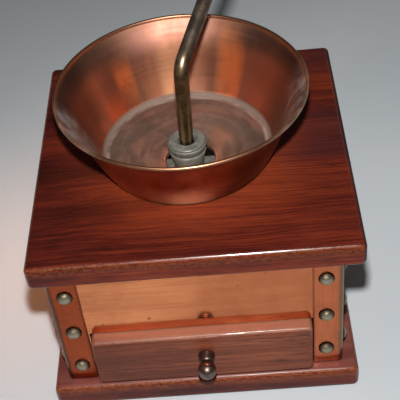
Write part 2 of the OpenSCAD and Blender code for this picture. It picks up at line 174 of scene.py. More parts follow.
def dense(p, step):
    q = []
    for a, b in zip(p, p[1:]):
        n = max(1, int(math.ceil(math.dist(a, b) / step)))
        q += [(a[0] + (b[0] - a[0]) * i / n, a[1] + (b[1] - a[1]) * i / n) for i in range(n)]
    return q + [p[-1]]


def smooth_line(p, n=6):
    q = []
    for i in range(len(p) - 1):
        a, b, c, d = p[max(i - 1, 0)], p[i], p[i + 1], p[min(i + 2, len(p) - 1)]
        for k in range(n):
            t = k / n
            q.append(tuple(0.5 * (2 * b[j] + (c[j] - a[j]) * t + (2 * a[j] - 5 * b[j] + 4 * c[j] - d[j]) * t * t
                                  + (3 * b[j] - a[j] - 3 * c[j] + d[j]) * t ** 3) for j in (0, 1)))
    return q + [p[-1]]


def side_coords(h, r, step):
    n = max(1, int(math.ceil(2 * (h - r) / step)))
    inner = [-(h - r) + 2 * (h - r) * i / n for i in range(n + 1)]
    edge = [h - r + r * math.tan(math.radians(t)) for t in (9, 18, 27, 36, 45)]
    return [-e for e in reversed(edge)] + inner + edge


def rounded_box(lo, hi, r, step=4.0, flat=None):
    """Grid box with rounded edges. flat: {(axis, sign)} faces left with sharp edges. Gives verts, faces, edge mask."""
    c = [(a + b) / 2 for a, b in zip(lo, hi)]
    h = [(b - a) / 2 for a, b in zip(lo, hi)]
    flat = flat or set()
    lim = [[-h[i], h[i]] for i in range(3)]
    ext = list(h)
    off = [0.0, 0.0, 0.0]
    for (ax, sg) in flat:
        ext[ax] += r / 2
        off[ax] += sg * r / 2
    co = [side_coords(ext[i], r, step) for i in range(3)]
    V, F, A = [], [], []
    for ax in range(3):
        b, d = [(1, 2), (2, 0), (0, 1)][ax]
        for sg in (-1, 1):
            base = len(V)
            nb, nd = len(co[b]), len(co[d])
            for u in co[b]:
                for w in co[d]:
                    p = [0.0, 0.0, 0.0]
                    p[ax], p[b], p[d] = sg * ext[ax], u, w
                    q = [max(-(ext[i] - r), min(ext[i] - r, p[i])) for i in range(3)]
                    n = Vector([p[i] - q[i] for i in range(3)])
                    n.normalize()
                    v = [q[i] + r * n[i] + off[i] for i in range(3)]
                    v = [max(lim[i][0], min(lim[i][1], v[i])) for i in range(3)]
                    e = min(1.0, (1 - max(abs(x) for x in n)) / 0.29)
                    V.append(tuple(v[i] + c[i] for i in range(3)))
                    A.append(e)
            for i in range(nb - 1):
                for j in range(nd - 1):
                    a0 = base + i * nd + j
                    F.append((a0, a0 + 1, a0 + nd + 1, a0 + nd))
    return V, F, A


def weld_and_worn(name, lists, flat_amp=0.03, edge_amp=0.16, seed=(0, 0, 0), ang=40.0, keep=None):
    V, F, A = lists
    ob = build(name, V, F, ang, attrs={"wear_and_shading": A})
    me = ob.data
    att = me.attributes["wear_and_shading"].data
    nrm = [v.normal.copy() for v in me.vertices]
    for i, v in enumerate(me.vertices):
        p = v.co / MM
        if keep and keep(p):
            continue
        q = p + Vector(seed)
        e = att[i].value
        d = flat_amp * fbm(q, 0.035, 2) + e * edge_amp * (fbm(q, 0.16, 3) - 0.35)
        v.co += nrm[i] * min(d, 0.0 if e < 0.02 else 0.02) * MM
    me.update()
    return ob


# ---------------------------------------------------------------- material helpers
class Mat:
    def __init__(self, name):
        self.m = bpy.data.materials.new(name)
        self.m.use_nodes = True
        self.nt = self.m.node_tree
        self.nt.nodes.clear()
        out = self.nt.nodes.new("ShaderNodeOutputMaterial")
        self.b = self.nt.nodes.new("ShaderNodeBsdfPrincipled")
        self.nt.links.new(self.b.outputs[0], out.inputs[0])
        self._p = None

    def put(self, sock, v):
        if isinstance(v, bpy.types.NodeSocket):
            self.nt.links.new(v, sock)
        elif isinstance(v, (tuple, list)) and len(v) == 3 and sock.type == "RGBA":
            sock.default_value = (*v, 1.0)
        else:
            sock.default_value = v

    def node(self, kind, ins=None, **kw):
        n = self.nt.nodes.new(kind)
        for k, v in kw.items():
            setattr(n, k, v)
        for k, v in (ins or {}).items():
            self.put(n.inputs[k], v)
        return n

    def set(self, **kw):
        for k, v in kw.items():
            self.put(self.b.inputs[k.replace("_", " ")], v)

    @property
    def p(self):
        """Object coordinates in millimetres."""
        if self._p is None:
            tc = self.node("ShaderNodeTexCoord")
            self._p = self.node("ShaderNodeVectorMath", {0: tc.outputs["Object"], "Scale": 1000.0}, operation="SCALE").outputs[0]
        return self._p

    def stretch(self, v, s, loc=(0, 0, 0), rot=(0, 0, 0)):
        return self.node("ShaderNodeMapping", {"Vector": v, "Scale": s, "Location": loc, "Rotation": rot}).outputs[0]

    def noise(self, v, scale=1.0, detail=3.0, rough=0.55, dist=0.0, out=0):
        return self.node("ShaderNodeTexNoise", {"Vector": v, "Scale": scale, "Detail": detail, "Roughness": rough, "Distortion": dist}).outputs[out]

    def voronoi(self, v, scale=1.0, feature="F1", rand=1.0, out=0):
        return self.node("ShaderNodeTexVoronoi", {"Vector": v, "Scale": scale, "Randomness": rand}, feature=feature).outputs[out]

    def math(self, op, a, b=0.0, c=None, clamp=False):
        ins = {0: a, 1: b}
        if c is not None:
            ins[2] = c
        return self.node("ShaderNodeMath", ins, operation=op, use_clamp=clamp).outputs[0]

    def remap(self, v, a, b, c=0.0, d=1.0, smooth=True):
        return self.node("ShaderNodeMapRange", {0: v, 1: a, 2: b, 3: c, 4: d}, interpolation_type="SMOOTHSTEP" if smooth else "LINEAR").outputs[0]

    def ramp(self, fac, stops, interp="LINEAR"):
        n = self.node("ShaderNodeValToRGB", {"Fac": fac})
        cr = n.color_ramp
        cr.interpolation = interp
        while len(cr.elements) < len(stops):
            cr.elements.new(0.5)
        for e, (pos, col) in zip(cr.elements, stops):
            e.position = pos
            e.color = (*col, 1.0)
        return n.outputs[0]

    def mix(self, fac, a, b, mode="MIX"):
        n = self.nt.nodes.new("ShaderNodeMix")
        n.data_type, n.blend_type = "RGBA", mode
        n.clamp_factor = True
        self.put(n.inputs[0], fac)
        self.put(n.inputs[6], a)
        self.put(n.inputs[7], b)
        return n.outputs[2]

    def mixf(self, fac, a, b):
        n = self.nt.nodes.new("ShaderNodeMix")
        n.data_type = "FLOAT"
        self.put(n.inputs[0], fac)
        self.put(n.inputs[2], a)
        self.put(n.inputs[3], b)
        return n.outputs[0]

    def bump(self, h, strength, dist_mm, normal=None):
        ins = {"Height": h, "Strength": strength, "Distance": dist_mm * MM}
        if normal is not None:
            ins["Normal"] = normal
        return self.node("ShaderNodeBump", ins).outputs[0]

    def xyz(self, v):
        n = self.node("ShaderNodeSeparateXYZ", {0: v})
        return n.outputs[0], n.outputs[1], n.outputs[2]

    def vec(self, x, y, z):
        return self.node("ShaderNodeCombineXYZ", {0: x, 1: y, 2: z}).outputs[0]

    def attr(self, name):
        return self.node("ShaderNodeAttribute", attribute_name=name).outputs["Fac"]

    def polar(self, cx=0.0, cy=0.0):
        """radius, angle about Z, height; millimetres."""
        x, y, z = self.xyz(self.p)
        dx, dy = self.math("SUBTRACT", x, cx), self.math("SUBTRACT", y, cy)
        r = self.math("SQRT", self.math("ADD", self.math("MULTIPLY", dx, dx), self.math("MULTIPLY", dy, dy)))
        return r, self.math("ARCTAN2", dy, dx), z


def wood(name, stops, along="x", band=0.05, rough=(0.34, 0.5), coat=0.0, pore=0.5, seed=0.0, edge=None, bump=0.35, worn=None, drift=7.0, spec=0.3, line=0.5, shade=None, upper_face_sheen=None, edge_glint=None, bowl_bounce_glow=None, shiny=0.0, cast_shadow_band=None, end=None):
    """Grain runs along one axis, so that the ends show end grain."""
    m = Mat(name)
    x, y, z = m.xyz(m.p)
    if along == "y":
        x, y = y, x
    elif along == "z":
        x, z = z, x
    q = m.vec(m.math("ADD", x, seed), m.math("ADD", y, seed * 1.7), z)
    # slow sideways drift of the grain
    warp = m.noise(m.stretch(q, (0.008, 0.014, 0.014)), 1.0, 2.0, 0.5)
    warp2 = m.noise(m.stretch(q, (0.035, 0.05, 0.05), loc=(9, 4, 2)), 1.0, 2.0, 0.5)
    qx, qy, qz = m.xyz(q)
    move = m.math("ADD", m.math("MULTIPLY", m.math("SUBTRACT", warp, 0.5), drift * 2.4), m.math("MULTIPLY", m.math("SUBTRACT", warp2, 0.5), drift * 0.22))
    g = m.vec(qx, m.math("ADD", qy, move), m.math("ADD", qz, m.math("MULTIPLY", move, 0.35)))
    broad = m.noise(m.stretch(g, (0.005, band, band)), 1.0, 3.0, 0.5)
    bands = m.noise(m.stretch(g, (0.008, band * 5.0, band * 5.0), loc=(2, 5, 1)), 1.0, 4.0, 0.6)
    fine = m.noise(m.stretch(g, (0.015, 1.10, 1.10), loc=(3, 1, 8)), 1.0, 4.0, 0.65)
    fibre = m.noise(m.stretch(g, (0.05, 3.2, 3.2), loc=(1, 6, 3)), 1.0, 3.0, 0.6)
    blot = m.noise(m.stretch(g, (0.012, 0.040, 0.040), loc=(6, 6, 2)), 1.0, 4.0, 0.6)
    tone = m.math("ADD", m.math("MULTIPLY", broad, 0.22), m.math("ADD", m.math("MULTIPLY", bands, 0.13), m.math("ADD", m.math("MULTIPLY", fine, 0.31), m.math("MULTIPLY", fibre, 0.14))))
    tone = m.math("ADD", tone, m.math("MULTIPLY", blot, 0.20))
    tone = m.remap(tone, 0.37, 0.63, 0.0, 1.0, smooth=False)
    if shade is not None:
        sx = m.remap(m.math("ADD", m.xyz(m.p)[0], m.math("MULTIPLY", m.math("SUBTRACT", blot, 0.5), 90.0)), shade[0], shade[1], shade[2], 0.0)
        tone = m.math("SUBTRACT", tone, sx, clamp=True)
    col = m.ramp(tone, stops)
    dark = tuple(c * 0.35 for c in stops[0][1])
    # thin dark growth lines
    lines = m.noise(m.stretch(g, (0.009, 0.62, 0.62), loc=(7, 3, 4)), 1.0, 2.0, 0.5)
    lines = m.math("SUBTRACT", 1.0, m.remap(m.math("ABSOLUTE", m.math("SUBTRACT", lines, 0.5)), 0.0, 0.030))
    lines = m.math("MULTIPLY", lines, m.remap(m.noise(m.stretch(g, (0.013, 0.1, 0.1), loc=(4, 4, 9)), 1.0, 2.0), 0.42, 0.62))
    col = m.mix(m.math("MULTIPLY", lines, line), col, dark)
    # open pores: short dark dashes
    pores = m.noise(m.stretch(g, (0.10, 3.4, 3.4), loc=(5, 2, 7)), 1.0, 2.0, 0.5)
    pores = m.remap(pores, 0.57, 0.69, 0.0, 1.0)
    patch = m.remap(m.noise(m.stretch(g, (0.012, 0.09, 0.09), loc=(2, 9, 4)), 1.0, 2.0), 0.38, 0.6, 0.35, 1.0)
    pores = m.math("MULTIPLY", pores, patch)
    col = m.mix(m.math("MULTIPLY", pores, pore), col, dark)
    rgh = m.remap(m.noise(m.p, 0.05, 3.0), 0.3, 0.7, rough[0], rough[1])
    rgh = m.math("ADD", rgh, m.math("MULTIPLY", pores, 0.2))
    if edge is not None:
        # lighter flecks on the rounded edges: worn chips, and a painted highlight along the edge
        wv = m.attr("wear_and_shading")
        speck = m.noise(m.stretch(q, (0.75, 1.3, 1.3), loc=(1, 1, 1)), 1.0, 3.0, 0.7)
        chip_and_glint = m.remap(m.math("ADD", m.math("MULTIPLY", wv, 0.62), m.math("MULTIPLY", m.math("SUBTRACT", speck, 0.5), 2.4)), 0.25, 0.75, 0.0, 1.0)
        chip_and_glint = m.math("MULTIPLY", chip_and_glint, m.remap(wv, 0.05, 0.35))
        col = m.mix(m.math("MULTIPLY", chip_and_glint, edge[1]), col, edge[0])
        rgh = m.math("ADD", rgh, m.math("MULTIPLY", chip_and_glint, 0.08))
    if upper_face_sheen is not None:
        # painted sheen: an upper face made paler than the rest, standing in for the light it reflects
        fz = m.remap(m.xyz(m.p)[2], upper_face_sheen[2], upper_face_sheen[3], 0.0, upper_face_sheen[1])
        col = m.mix(m.math("MULTIPLY", fz, m.remap(blot, 0.36, 0.56, 0.45, 1.0)), col, upper_face_sheen[0])
    if bowl_bounce_glow is not None:
        # painted glow: the wood close round the bowl made lighter and redder, as if lit by light off the copper
        rad, ang0, z0 = m.polar()
        gl = m.remap(m.math("ADD", rad, m.math("MULTIPLY", m.math("SUBTRACT", blot, 0.5), 24.0)), bowl_bounce_glow[1], bowl_bounce_glow[0])
        gl = m.math("MULTIPLY", gl, m.remap(tone, 0.15, 0.7, 0.4, 1.0))
        col = m.mix(m.math("MULTIPLY", gl, bowl_bounce_glow[3]), col, bowl_bounce_glow[2])
    if edge_glint is not None:
        # painted highlight: golden-brown flecks along the upper part of the moulded edge
        gz = m.math("MULTIPLY", m.remap(m.xyz(m.p)[2], edge_glint[2], edge_glint[2] + 4.0), m.remap(m.xyz(m.p)[2], edge_glint[3], edge_glint[3] - 0.9))
        fleck = m.noise(m.stretch(q, (0.35, 0.9, 0.9), loc=(3, 2, 5)), 1.0, 4.0, 0.7)
        col = m.mix(m.math("MULTIPLY", m.math("MULTIPLY", gz, m.remap(fleck, 0.42, 0.56)), edge_glint[1]), col, edge_glint[0])
    if worn is not None:
        blot = m.remap(m.noise(m.p, 0.045, 4.0, 0.6, 0.4), 0.5, 0.72, 0.0, 1.0)
        col = m.mix(m.math("MULTIPLY", blot, worn[1]), col, worn[0])
    h = m.math("SUBTRACT", m.math("MULTIPLY", fibre, 0.5), m.math("MULTIPLY", pores, 0.9))
    if edge is not None:
        h = m.math("ADD", h, m.math("MULTIPLY", m.math("MULTIPLY", speck, wv), 0.7))
    nrm = m.bump(h, bump, 0.07)
    wave = m.noise(m.stretch(g, (0.03, 0.12, 0.12)), 1.0, 2.0)
    nrm = m.bump(wave, 0.25, 0.3, nrm)
    if cast_shadow_band is not None:
        # painted shadow: a darker band across the board from x0 outwards, between two lines, and a darker back right
        # corner
        dx, dy, dz = m.xyz(m.p)
        wob = m.math("MULTIPLY", m.math("SUBTRACT", blot, 0.5), 22.0)
        shadow_mask = m.math("MULTIPLY", m.remap(m.math("ADD", dx, wob), cast_shadow_band[0], cast_shadow_band[0] + 26.0), m.math("MULTIPLY", m.remap(m.math("ADD", dy, wob), cast_shadow_band[1] - 7.0, cast_shadow_band[1] + 5.0), m.remap(m.math("ADD", dy, wob), cast_shadow_band[2] + 7.0, cast_shadow_band[2] - 5.0)))
        shadow_mask = m.math("MAXIMUM", shadow_mask, m.math("MULTIPLY", m.remap(dx, 50.0, 76.0), m.remap(m.math("ADD", dy, wob), 48.0, 68.0)))
        col = m.mix(m.math("MULTIPLY", shadow_mask, cast_shadow_band[3]), col, cast_shadow_band[4])
    if end is not None:
        # the right end, made nearly black and rougher
        cap = m.remap(m.xyz(m.p)[0], end[0], end[1])
        col = m.mix(m.math("MULTIPLY", cap, 0.8), col, (0.016, 0.0050, 0.0040))
        rgh = m.math("ADD", rgh, m.math("MULTIPLY", cap, 0.25))
    if shiny:
        # the rounded edges have been handled to a shine
        coat = m.math("MULTIPLY", m.remap(m.attr("wear_and_shading"), 0.25, 0.75), m.math("MULTIPLY", shiny, m.remap(blot, 0.34, 0.56, 0.45, 1.0)))
        if end is not None:
            coat = m.math("MULTIPLY", coat, m.math("SUBTRACT", 1.0, cap))
    m.set(Base_Color=col, Roughness=rgh, Normal=nrm, Specular_IOR_Level=spec, Coat_Weight=coat, Coat_Roughness=0.16)
    return m.m


def copper(name, base, dark, stain, rough=(0.2, 0.34), brush="x", tarnish=0.35, spots=0.6, edge=None, seed=0.0, bump=0.25, warm=None, fade=None, streaks=0.28, corner=None):
    """Sheet copper, finely brushed along one axis, with tarnish and small dark spots."""
    m = Mat(name)
    q = m.stretch(m.p, (1, 1, 1), loc=(seed, seed * 0.7, seed * 1.3))
    cloud = m.noise(q, 0.028, 4.0, 0.6, 0.5)
    cloud2 = m.noise(q, 0.11, 4.0, 0.62)
    t = m.math("MULTIPLY", m.remap(m.math("ADD", m.math("MULTIPLY", cloud, 0.65), m.math("MULTIPLY", cloud2, 0.35)), 0.40, 0.66), tarnish)
    if fade is not None:
        fx = m.remap(m.math("ADD", m.xyz(m.p)[0], m.math("MULTIPLY", m.math("SUBTRACT", cloud, 0.5), 60.0)), fade[0], fade[1], 0.0, fade[2])
        t = m.math("MAXIMUM", m.math("MULTIPLY", t, 0.6), m.math("ADD", fx, m.math("MULTIPLY", t, 0.35)), clamp=True)
    col = m.mix(t, base, dark)
    if warm is not None:
        wz = m.remap(m.noise(m.stretch(q, (0.02, 0.02, 0.06), loc=(4, 1, 3)), 1.0, 3.0), 0.42, 0.62)
        col = m.mix(m.math("MULTIPLY", wz, 0.5), col, warm)
    sp = m.voronoi(q, 0.075, rand=1.0)
    spot_noise = m.math("MULTIPLY", m.noise(q, 0.9, 3.0), 0.10)
    sp = m.remap(m.math("ADD", sp, spot_noise), 0.085, 0.15, 1.0, 0.0)
    sp = m.math("MULTIPLY", sp, spots)
    col = m.mix(sp, col, stain)
    s = {"x": (0.05, 3.2, 3.2), "y": (3.2, 0.05, 3.2), "z": (3.2, 3.2, 0.05)}[brush]
    lines = m.noise(m.stretch(q, s), 1.0, 3.0, 0.65)
    lines2 = m.noise(m.stretch(q, tuple(v * 0.35 for v in s), loc=(3, 3, 3)), 1.0, 2.0, 0.6)
    col = m.mix(m.math("MULTIPLY", m.remap(lines2, 0.45, 0.7), streaks), col, dark)
    wide = m.noise(m.stretch(q, tuple(v * 0.045 + 0.016 for v in s), loc=(8, 1, 5)), 1.0, 4.0, 0.6)
    col = m.mix(m.math("MULTIPLY", m.remap(wide, 0.44, 0.64), streaks * 0.6), col, tuple(c * 0.80 for c in dark))
    if corner is not None:
        # painted reflection: an olive-brown band beside the bend, standing in for the darker surroundings the rounded
        # corner mirrors
        wob = m.math("MULTIPLY", m.math("SUBTRACT", cloud2, 0.5), 2.0)
        cz = m.remap(m.math("ADD", m.math("ABSOLUTE", m.xyz(m.p)[0]), wob), corner[0] - 3.4, corner[0] - 1.9)
        cz = m.math("MULTIPLY", cz, m.remap(m.math("ADD", m.math("ABSOLUTE", m.xyz(m.p)[1]), wob), corner[1] - 3.4, corner[1] - 1.9))
        col = m.mix(m.math("MULTIPLY", cz, corner[3]), col, corner[2])
    rgh = m.remap(m.math("ADD", m.math("MULTIPLY", cloud2, 0.6), m.math("MULTIPLY", lines, 0.4)), 0.38, 0.62, rough[0], rough[1], smooth=False)
    rgh = m.math("ADD", rgh, m.math("MULTIPLY", sp, 0.25))
    if edge is not None:
        wv = m.remap(m.attr("wear_and_shading"), 0.3, 0.9)
        col = m.mix(m.math("MULTIPLY", wv, edge[1]), col, edge[0])
    nrm = m.bump(m.math("ADD", m.math("MULTIPLY", lines, 0.6), m.math("MULTIPLY", lines2, 0.6)), bump, 0.05)
    nrm = m.bump(m.noise(q, 0.05, 2.0), 0.5, 0.35, nrm)
    m.set(Base_Color=col, Roughness=rgh, Normal=nrm, Metallic=1.0)
    return m.m


def metal(name, base, dark, rough=(0.3, 0.5), metallic=1.0, grain=0.9, bump=0.3, mixs=0.6, edge=None, dist=0.06):
    """Plain cast or turned metal with mottling."""
    m = Mat(name)
    a = m.noise(m.p, 0.16 * grain, 5.0, 0.62, 0.3)
    b = m.noise(m.p, 1.6 * grain, 4.0, 0.65)
    t = m.remap(m.math("ADD", m.math("MULTIPLY", a, 0.6), m.math("MULTIPLY", b, 0.4)), 0.38, 0.62)
    col = m.mix(m.math("MULTIPLY", t, mixs), base, dark)
    if edge is not None:
        wv = m.attr("wear_and_shading")
        col = m.mix(m.remap(wv, 0.3, 1.0, 0.0, edge[1]), col, edge[0])
    rgh = m.remap(b, 0.3, 0.7, rough[0], rough[1])
    nrm = m.bump(m.math("ADD", b, m.math("MULTIPLY", m.noise(m.p, 4.5 * grain, 3.0), 0.5)), bump, dist)
    m.set(Base_Color=col, Roughness=rgh, Normal=nrm, Metallic=metallic)
    return m.m


# ---------------------------------------------------------------- materials
RED = [(0.0, (0.026, 0.0048, 0.0040)), (0.35, (0.074, 0.0110, 0.0068)), (0.65, (0.145, 0.0225, 0.0092)), (1.0, (0.27, 0.050, 0.016))]
BROWN = [(0.0, (0.064, 0.0145, 0.0075)), (0.35, (0.130, 0.0320, 0.0145)), (0.65, (0.202, 0.0540, 0.0235)), (1.0, (0.310, 0.098, 0.038))]
PLAIN = [(0.0, (0.16, 0.075, 0.038)), (0.5, (0.27, 0.145, 0.075)), (1.0, (0.38, 0.22, 0.12))]
PALE = [(0.0, (0.24, 0.135, 0.070)), (0.5, (0.36, 0.22, 0.12)), (1.0, (0.46, 0.30, 0.18))]

M_TOP = wood("mahogany_top", RED, "x", rough=(0.18, 0.28), pore=0.75, seed=13.0, edge=((0.25, 0.078, 0.028), 0.5), spec=0.15, shade=(-85.0, -10.0, 0.24), line=0.32, edge_glint=((0.18, 0.052, 0.014), 0.50, 99.0, 106.2), bowl_bounce_glow=(46.0, 76.0, (0.27, 0.050, 0.016), 0.38), shiny=0.55, cast_shadow_band=(42.0, -15.0, 21.0, 0.6, (0.040, 0.0125, 0.0145)), end=(79.8, 81.0))
M_BASE = wood("mahogany_base", RED, "x", rough=(0.24, 0.36), pore=0.5, seed=71.0, edge=((0.30, 0.105, 0.042), 0.6), spec=0.22, line=0.35, upper_face_sheen=((0.22, 0.088, 0.074), 0.70, 13.6, 14.4), edge_glint=((0.27, 0.090, 0.030), 0.36, 7.0, 14.3), shiny=0.12)
M_DRAWER = wood("drawer_front_wood", BROWN, "x", band=0.10, rough=(0.36, 0.50), pore=0.9, seed=33.0, edge=((0.33, 0.130, 0.070), 0.6), drift=3.0, line=0.8, spec=0.25, shade=(-70.0, 60.0, 0.22), upper_face_sheen=((0.30, 0.140, 0.094), 0.60, 47.0, 48.9), shiny=0.6)
M_CASE = wood("case_wood", PLAIN, "z", rough=(0.55, 0.7), pore=0.4, seed=5.0)
M_CASE_X = wood("case_wood_across", PLAIN, "x", rough=(0.55, 0.7), pore=0.4, seed=25.0)
M_BOX = wood("drawer_box_wood", PALE, "y", rough=(0.55, 0.7), pore=0.35, seed=45.0)
M_BOX_X = wood("drawer_box_wood_across", PALE, "x", rough=(0.55, 0.7), pore=0.35, seed=55.0)
M_GRIP = wood("grip_wood", RED, "z", band=0.10, rough=(0.22, 0.34), pore=0.4, seed=90.0, spec=0.45)

CU = (0.83, 0.335, 0.155)
M_PANEL = copper("copper_sheet", (0.88, 0.325, 0.137), (0.545, 0.168, 0.069), (0.20, 0.065, 0.032), rough=(0.09, 0.16), brush="x", tarnish=0.9, spots=0.6, seed=3.0, bump=0.10, streaks=0.5,
                 fade=(-40.0, 25.0, 0.75))
M_SIDE = copper("copper_side", CU, (0.50, 0.18, 0.08), (0.16, 0.05, 0.025), rough=(0.22, 0.38), brush="y", tarnish=0.6, spots=0.7, seed=31.0)
M_STRAP = copper("copper_strap", (0.60, 0.176, 0.073), (0.42, 0.108, 0.046), (0.12, 0.04, 0.02), rough=(0.16, 0.28), brush="z", tarnish=0.6, spots=0.4, seed=17.0,
                 edge=((0.20, 0.05, 0.028), 0.7), bump=0.14, streaks=0.35, corner=(SX, SY, (0.20, 0.125, 0.070), 0.8))
M_STRAP_L = copper("copper_strap_dark", (0.41, 0.084, 0.029), (0.27, 0.052, 0.020), (0.10, 0.03, 0.016), rough=(0.18, 0.30), brush="z", tarnish=0.6, spots=0.4, seed=47.0,
                   edge=((0.12, 0.03, 0.018), 0.7), bump=0.14, streaks=0.35, corner=(SX, SY, (0.10, 0.050, 0.030), 0.8))

M_NAIL = None
M_STEEL = metal("screw_steel", (0.52, 0.51, 0.49), (0.22, 0.20, 0.18), rough=(0.28, 0.46), mixs=0.5)
M_IRON = metal("burr_iron", (0.16, 0.155, 0.15), (0.055, 0.045, 0.04), rough=(0.42, 0.62), bump=0.6, mixs=0.8)
M_WHEEL = metal("wheel_brass", (0.62, 0.42, 0.16), (0.26, 0.15, 0.06), rough=(0.28, 0.45), mixs=0.7)


def nail_metal():
    m = Mat("nail_metal")
    # painted shade and highlight: by height on the dome, each head runs from dark at its foot to light at its crown
    h = m.attr("wear_and_shading")
    a = m.noise(m.p, 0.55, 4.0, 0.6)
    b = m.noise(m.p, 2.4, 3.0, 0.6)
    t = m.remap(m.math("ADD", h, m.math("MULTIPLY", m.math("SUBTRACT", a, 0.5), 0.7)), 0.15, 0.85)
    col = m.ramp(t, [(0.0, (0.036, 0.026, 0.017)), (0.35, (0.115, 0.090, 0.060)), (0.7, (0.205, 0.176, 0.124)), (1.0, (0.32, 0.285, 0.210))])
    rgh = m.remap(t, 0.0, 1.0, 0.56, 0.41)
    nrm = m.bump(m.math("ADD", a, m.math("MULTIPLY", b, 0.4)), 0.7, 0.14)
    m.set(Base_Color=col, Roughness=rgh, Normal=nrm, Metallic=0.85)
    return m.m


M_NAIL = nail_metal()


def bowl_metal():
    m = Mat("copper_bowl")
    r, ang, z = m.polar()
    # coordinates that run round the bowl: spinning marks and scuffs
    ring = m.vec(m.math("MULTIPLY", ang, 1.1), m.math("MULTIPLY", r, 0.55), m.math("MULTIPLY", z, 0.55))
    rings = m.noise(ring, 1.0, 2.0, 0.5)
    rings_f = m.noise(m.stretch(ring, (0.7, 5.0, 5.0)), 1.0, 3.0, 0.6)

    def stretch_of_wall(centre, full, none):
        """1 within full degrees of the direction centre, 0 beyond none."""
        c = m.math("COSINE", m.math("SUBTRACT", ang, math.radians(centre)))
        return m.remap(c, math.cos(math.radians(none)), math.cos(math.radians(full)))

    cloud = m.noise(m.p, 0.030, 4.0, 0.6, 0.4)
    cloud2 = m.noise(m.p, 0.13, 4.0, 0.6, 0.2)
    inner = m.attr("inside")
    # the wall, browner outside
    wall = m.mix(m.math("MULTIPLY", m.remap(cloud, 0.40, 0.64), 0.8), (0.50, 0.235, 0.140), (0.36, 0.150, 0.092))
    # painted shade: duller brown at the two sides
    px, py, pz = m.xyz(m.p)
    side = m.remap(m.math("ADD", m.math("ABSOLUTE", m.math("DIVIDE", px, r)), m.math("MULTIPLY", m.math("SUBTRACT", cloud, 0.5), 0.6)), 0.28, 0.74)
    wall = m.mix(m.math("MULTIPLY", side, 0.8), wall, (0.265, 0.142, 0.103))
    # painted shade: the back wall under the rim, where the highlight falls, made darker and pinker
    crown = m.math("MULTIPLY", stretch_of_wall(94.0, 12.0, 34.0), m.remap(m.math("ADD", z, m.math("MULTIPLY", cloud2, 14.0)), 134.0, 150.0))
    wall = m.mix(m.math("MULTIPLY", crown, 0.7), wall, (0.36, 0.185, 0.145))
    # painted shade: darker stretches on the right wall and low on the left wall
    wall = m.mix(m.math("MULTIPLY", stretch_of_wall(24.0, 6.0, 34.0), 0.6), wall, (0.215, 0.086, 0.060))
    gloom = m.math("MULTIPLY", stretch_of_wall(177.0, 8.0, 30.0), m.remap(m.math("ADD", z, m.math("MULTIPLY", cloud2, 16.0)), 112.0, 132.0))
    wall = m.mix(m.math("MULTIPLY", gloom, 0.8), wall, (0.095, 0.058, 0.048))
    wall = m.mix(m.math("MULTIPLY", stretch_of_wall(-2.0, 12.0, 32.0), 0.6), wall, (0.150, 0.082, 0.062))
    # faint upright streaks, some dark and some still bright
    streak = m.noise(m.vec(m.math("MULTIPLY", ang, 2.8), 0.0, m.math("MULTIPLY", z, 0.010)), 1.0, 3.0, 0.45)
    wall = m.mix(m.math("MULTIPLY", m.remap(streak, 0.48, 0.64), 0.50), wall, (0.21, 0.088, 0.058))
    glint = m.math("MULTIPLY", m.remap(streak, 0.44, 0.34), m.remap(m.noise(m.p, 0.035, 2.0), 0.40, 0.58))
    wall = m.mix(m.math("MULTIPLY", glint, 0.35), wall, (0.62, 0.225, 0.095))
    # two upright strips painted bright: painted reflections on the wall
    wz = m.math("ADD", z, m.math("MULTIPLY", cloud2, 12.0))
    lit = m.math("MULTIPLY", stretch_of_wall(129.0, 0.0, 8.5), m.math("MULTIPLY", m.remap(wz, 144.0, 132.0), m.remap(wz, 116.0, 130.0, 0.25, 1.0)))
    lit = m.math("ADD", lit, m.math("MULTIPLY", stretch_of_wall(60.0, 0.0, 11.0), m.math("MULTIPLY", m.remap(wz, 154.0, 136.0), m.remap(cloud, 0.30, 0.50, 0.6, 1.0))), clamp=True)
    wall = m.mix(m.math("MULTIPLY", m.remap(rings, 0.48, 0.70), 0.12), wall, (0.27, 0.112, 0.072))
    # painted glint: an orange stretch low on the left back wall
    ember = m.math("MULTIPLY", stretch_of_wall(143.0, 2.0, 12.0), m.remap(wz, 132.0, 116.0))
    wall = m.mix(m.math("MULTIPLY", ember, 0.6), wall, (0.56, 0.150, 0.055))
    lit = m.math("MULTIPLY", lit, m.remap(m.math("ADD", m.math("MULTIPLY", cloud, 0.5), m.math("MULTIPLY", cloud2, 0.5)), 0.36, 0.56, 0.45, 1.0))
    wall = m.mix(m.math("MULTIPLY", lit, 0.75), wall, (1.0, 0.315, 0.105))
    # painted highlight: a brighter stretch at the back; painted shadow of the crank arm: a dull patch beside it under
    # the rim
    sheen = m.math("MULTIPLY", stretch_of_wall(97.0, 1.0, 12.0), m.remap(wz, 146.0, 130.0))
    wall = m.mix(m.math("MULTIPLY", sheen, 0.50), wall, (0.84, 0.43, 0.22))
    arm_shadow_patch = m.math("MULTIPLY", stretch_of_wall(49.0, 1.0, 10.0), m.remap(wz, 134.0, 146.0))
    wall = m.mix(m.math("MULTIPLY", arm_shadow_patch, 0.65), wall, (0.17, 0.095, 0.078))
    # outside: browner, mottled copper, with painted shade making the front right of it much darker
    wall = m.mix(m.math("SUBTRACT", 1.0, inner), wall, m.mix(m.math("MAXIMUM", m.remap(cloud, 0.40, 0.64), stretch_of_wall(-34.0, 16.0, 46.0)), (0.56, 0.215, 0.115), m.mix(stretch_of_wall(-34.0, 16.0, 46.0), (0.30, 0.092, 0.052), (0.085, 0.040, 0.034))))
